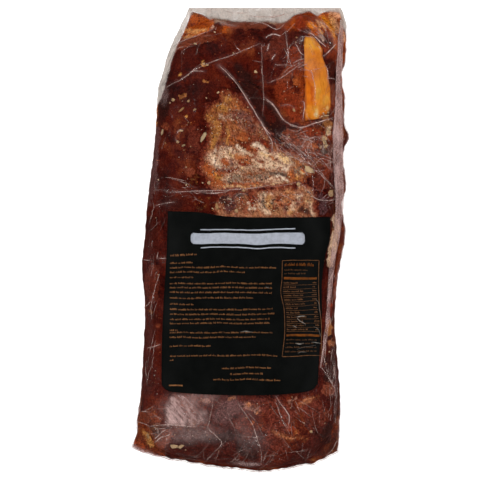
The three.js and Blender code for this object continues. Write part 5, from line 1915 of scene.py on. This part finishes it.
def join(parts):
    """Several (points, faces) as one."""
    points = []
    faces = []
    count = 0
    for part_points, part_faces in parts:
        points.append(part_points)
        faces += (np.asarray(part_faces) + count).tolist()
        count += len(part_points)
    return np.concatenate(points), faces


def word_row(rng, x_from, x_to, y, height=1.15, press=0.75):
    """One line of stand-in text: words a space apart, each a run of narrow bars of uneven height on one
    base."""
    bars = []
    x = x_from
    while x < x_to - 0.8:
        end = min(x + rng.uniform(1.6, 6.5), x_to)
        while x < end - 0.3:
            width = rng.uniform(0.35, 0.75)
            tall = height * rng.choice([0.7, 0.8, 1.15])
            bars.append((x, x + width, y + 0.5 * (tall - height), tall, press))
            x += width + 0.22
        x += 0.8
    return bars


# Lines of small print as y and right end, from the left margin
TEXT_LEFT = -57
TEXT_LINES = [
    (-18.5, -39), (-22.3, 29), (-26.1, 3.7), (-30.5, -38), (-35.5, 26), (-39, 26.3), (-42.8, 26.7),
    (-47.2, 10.3), (-52.1, -38), (-56.2, 26.7), (-60, 28.3), (-64.1, 24.2), (-67.5, 23.8), (-73.2, -49),
    (-75.3, 26), (-79.2, 12.7), (-86.2, -22.6), (-94.2, 30), (-97.5, -54),
]
CENTRED_LINES = [(-103.8, -14.4, 25), (-108.7, -7.8, 18.5), (-113.4, -21.7, 33.2)]
# Bars longer than LONG_BAR have more cells along, and bars of the panel taller than TALL_BAR are orange
LONG_BAR = 2
LONG_BAR_COLUMNS = 30
TALL_BAR = 1.5

# The band in the name's place, the rows of bars it is made of, how blunt its ends are, and the rules above
# and below it
HEADING_LEFT = -40
HEADING_RIGHT = 53.5
HEADING_Y = 1.2
HEADING_HEIGHT = 9
HEADING_ROWS = 12
HEADING_BLUNT = 1.6
HEADING_RULE_GAP = 3
HEADING_RULE_INSET = 8


def panel_bars(rng):
    """The panel's head and foot, two thick bars, its own heading, and rows of figures with thin rules
    between."""
    inner = (PANEL_LEFT + PANEL_MARGIN, PANEL_RIGHT - PANEL_MARGIN)
    bars = [
        (PANEL_LEFT, PANEL_RIGHT, PANEL_TOP, 0.45, 0.6), (PANEL_LEFT, PANEL_RIGHT, PANEL_FOOT, 0.45, 0.6),
        (*inner, -31, 1.9, 0.75), (*inner, -77.5, 1.9, 0.75),
    ]
    bars += word_row(rng, PANEL_LEFT + 2, PANEL_RIGHT - 3, -20.2, 2.2, 0.6)
    for row in range(FIGURES_ROWS):
        y = FIGURES_Y - FIGURES_PITCH * row
        bars.append((*inner, y - 1.7, 0.28, 0.4))
        bars += word_row(rng, PANEL_LEFT + 1.8, PANEL_LEFT + rng.uniform(11, 20), y, 1.1, 0.45)
        bars += word_row(rng, PANEL_RIGHT - rng.uniform(4, 6), PANEL_RIGHT - 1.8, y, 1.1, 0.45)
    for y in NOTE_ROWS:
        bars += word_row(rng, PANEL_LEFT + 1.8, PANEL_RIGHT - rng.uniform(3, 12), y, 1.0, 0.18)
    return bars


def panel_sides():
    """The panel's left and right sides, in short pieces that follow the sticker as it creeps."""
    ends = np.linspace(PANEL_TOP, PANEL_FOOT, SIDE_PIECES + 1)
    step = (PANEL_TOP - PANEL_FOOT) / SIDE_PIECES
    return [(x - 0.22, x + 0.22, (a + b) / 2, step + 0.02, 0.6)
            for x in (PANEL_LEFT, PANEL_RIGHT) for a, b in zip(ends[:-1], ends[1:])]


def add_small_print():
    """Copper lines of stand-in text, and beside them the framed panel, whose tall bars are orange."""
    rng = np.random.default_rng(9)
    rows = [word_row(rng, TEXT_LEFT, right, y) for y, right in TEXT_LINES]
    rows += [word_row(rng, left, right, y, 1.3) for y, left, right in CENTRED_LINES]
    rows += [word_row(rng, -56.5, -35, -11.9, 1.5), [(-57.5, -46.5, -118.6, 1.1, 0.75)], panel_bars(rng)]
    bars = [bar for row in rows for bar in row]
    groups = [
        ([bar for bar in bars if bar[1] - bar[0] > LONG_BAR], LONG_BAR_COLUMNS),
        ([bar for bar in bars if bar[1] - bar[0] <= LONG_BAR], 1), (panel_sides(), 1),
    ]
    points, faces = join([ink_bars(group, columns) for group, columns in groups])
    left, _, _, height, press = np.array([bar for group, _ in groups for bar in group]).T
    corners = np.concatenate([np.full(len(group), 4 * (columns + 1)) for group, columns in groups])
    orange = (height > TALL_BAR) & (left > PANEL_LEFT)
    fields = {"press": np.repeat(press, corners), "orange": np.repeat(orange, corners)}
    ink = ink_paint("copper_ink", COPPER_THIN, COPPER_INK)
    add_piece("small_print", points, faces, ink, fields, "label")


def add_heading():
    """In the name's place, a plain pale band with blunt ends between two thin rules."""
    pitch = HEADING_HEIGHT / HEADING_ROWS
    middle = (HEADING_ROWS - 1) / 2
    bars = []
    for row in np.arange(HEADING_ROWS) - middle:
        blunt = HEADING_BLUNT * (row / middle) ** 4
        bars.append((HEADING_LEFT + blunt, HEADING_RIGHT - blunt, HEADING_Y + row * pitch, pitch + 0.02, 1))
    for side in (-1, 1):
        y = HEADING_Y + side * (HEADING_HEIGHT / 2 + HEADING_RULE_GAP)
        bars.append((HEADING_LEFT + HEADING_RULE_INSET, HEADING_RIGHT - HEADING_RULE_INSET, y, 0.9, 1))
    points, faces = join([ink_bars(bars, 40)])
    ink = ink_paint("pale_ink", PALE_THIN, PALE_INK)
    add_piece("heading_print", points, faces, ink, {"press": np.ones(len(points))}, "label")


# Creases on the sticker with painted highlights: half width, brightness of the highlight, corners
LABEL_CREASE_HIGHLIGHTS = [
    (0.4, 0.9, (45.6, -62.6), (49, -62.2), (53, -61.8)),
    (0.35, 0.8, (46.2, -63.4), (49.2, -66.2), (53.4, -68.4)), (0.35, 0.6, (43, -69.2), (46.2, -71.4)),
    (0.4, 1.0, (45, -84.1), (48, -84.6), (52, -83.9)), (0.3, 0.35, (47, -92), (50.2, -91), (54, -91.4)),
    (0.3, 0.6, (58.4, -83), (62, -83.4), (66, -84.3)),
    (0.25, 0.3, (61.4, -47.6), (64, -51.2), (64.8, -57), (66, -62.4)),
    (0.2, 0.15, (46, -89), (51, -87.4), (62, -85.6)), (0.35, 0.6, (0, -74.8), (5, -74.2), (11, -75)),
    (0.35, 0.7, (21, -38.4), (24, -39.2)), (0.25, 0.25, (60, -70), (64, -73), (66, -79)),
]
CREASE_HEIGHT = 0.12


def add_label_crease_highlights():
    """Low ridges where the sticker is creased, in pale ink that paints their highlight."""
    paths = np.array([curve(corners, FOLD_STEPS)[0] for _, _, *corners in LABEL_CREASE_HIGHLIGHTS])
    widths, bright = np.array([crease[:2] for crease in LABEL_CREASE_HIGHLIGHTS]).T
    heights = np.full(len(widths), CREASE_HEIGHT)
    points, faces = ridge_mesh(
        shaken(paths, 0.3, 4, 127), widths, heights, lambda x, y: label_top(x, y) + INK_RISE)
    fields = {"press": np.repeat(bright, 3 * FOLD_STEPS)}
    shine = ink_paint("crease_painted_highlight", CREASE_HIGHLIGHT_THIN, CREASE_HIGHLIGHT_INK)
    add_piece("label_crease_highlights", points, faces, shine, fields, "label", flat=True)


# Floor, light and camera

# Pixels across the photograph and the width of each, and the camera's height and sensor
PIXELS = 480
MM_PER_PIXEL = 0.8183
CAMERA_Z = 9000
SENSOR = 36

# In metres: half the floor's width, the place the lamps aim at, and how far the camera sees
FLOOR_HALF = 15
LAMP_AIM = (0, 0, 0.04)
CLIP_END = 100
FLOOR_GLOW = 0.9
WORLD_GLOW = 0.06

# Soft boxes as place, size, power and whether the film mirrors them: broad ones light the meat and are not
# mirrored, small low ones only glint on the folds
LIGHTS = {
    "left softbox": ((-1.3, 0.6, 1.9), (1.4, 1.6), 26, False),
    "right softbox": ((1.4, -0.3, 1.8), (1.2, 1.6), 20, False),
    "header softbox": ((0.1, 1.6, 1.7), (1.6, 1.0), 16, False),
    "foot softbox": ((-0.2, -1.7, 1.8), (1.6, 1.0), 13, False),
    "left glint": ((-1.9, 0.5, 1.1), (0.5, 1.2), 20, True),
    "right glint": ((1.9, 0.2, 1.1), (0.5, 1.2), 16, True),
    "header glint": ((0.2, 2.0, 1.1), (1.2, 0.5), 20, True),
    "foot glint": ((-0.3, -2.0, 1.2), (1.2, 0.4), 12, True),
}


def add_floor():
    """A white floor that glows a little and isn't mirrored."""
    mesh = bpy.data.meshes.new("floor")
    corners = [(x * FLOOR_HALF, y * FLOOR_HALF, 0) for x, y in ((-1, -1), (1, -1), (1, 1), (-1, 1))]
    mesh.from_pydata(corners, [], [(0, 1, 2, 3)])
    floor = put_object("floor", mesh)
    p = Paint("floor_white")
    mesh.materials.append(p.finish(p.principled(
        Base_Color=(0.5, 0.5, 0.5), Roughness=0.9, Specular_IOR_Level=0.1, Emission_Color=(1, 1, 1, 1),
        Emission_Strength=FLOOR_GLOW)))
    floor.visible_glossy = False


def add_lights():
    """A faint white world, and the soft boxes."""
    world = bpy.data.worlds.new("studio")
    bpy.context.scene.world = world
    world.use_nodes = True
    world.node_tree.nodes["Background"].inputs["Color"].default_value = (1, 1, 1, 1)
    world.node_tree.nodes["Background"].inputs["Strength"].default_value = WORLD_GLOW
    for name, (place, size, power, glint) in LIGHTS.items():
        light = bpy.data.lights.new(name, "AREA")
        light.shape = "RECTANGLE"
        light.size, light.size_y = size
        light.energy = power
        lamp = put_object(name, light)
        lamp.location = place
        aim = Vector(LAMP_AIM) - Vector(place)
        lamp.rotation_euler = aim.to_track_quat("-Z", "Y").to_euler()
        lamp.visible_glossy = glint
        lamp.visible_diffuse = not glint


def add_camera():
    """Straight above the pack, with the field of the photograph at the height of the header seam."""
    camera = bpy.data.cameras.new("camera")
    camera.sensor_width = SENSOR
    camera.lens = SENSOR * (CAMERA_Z - HEADER_SEAM_Z) / (PIXELS * MM_PER_PIXEL)
    camera.clip_end = CLIP_END
    holder = put_object("camera", camera)
    holder.location = (0, 0, CAMERA_Z * MM)
    bpy.context.scene.camera = holder


add_roast()
add_crust()
add_fat_strip()
add_bits()
film = film_paint()
add_film(film)
add_folds(film)
add_side_seam(film)
add_label()
add_small_print()
add_heading()
add_label_crease_highlights()
add_floor()
add_lights()
add_camera()
bpy.context.scene.view_settings.view_transform = "Standard"
bpy.context.scene.cycles.transparent_max_bounces = 16
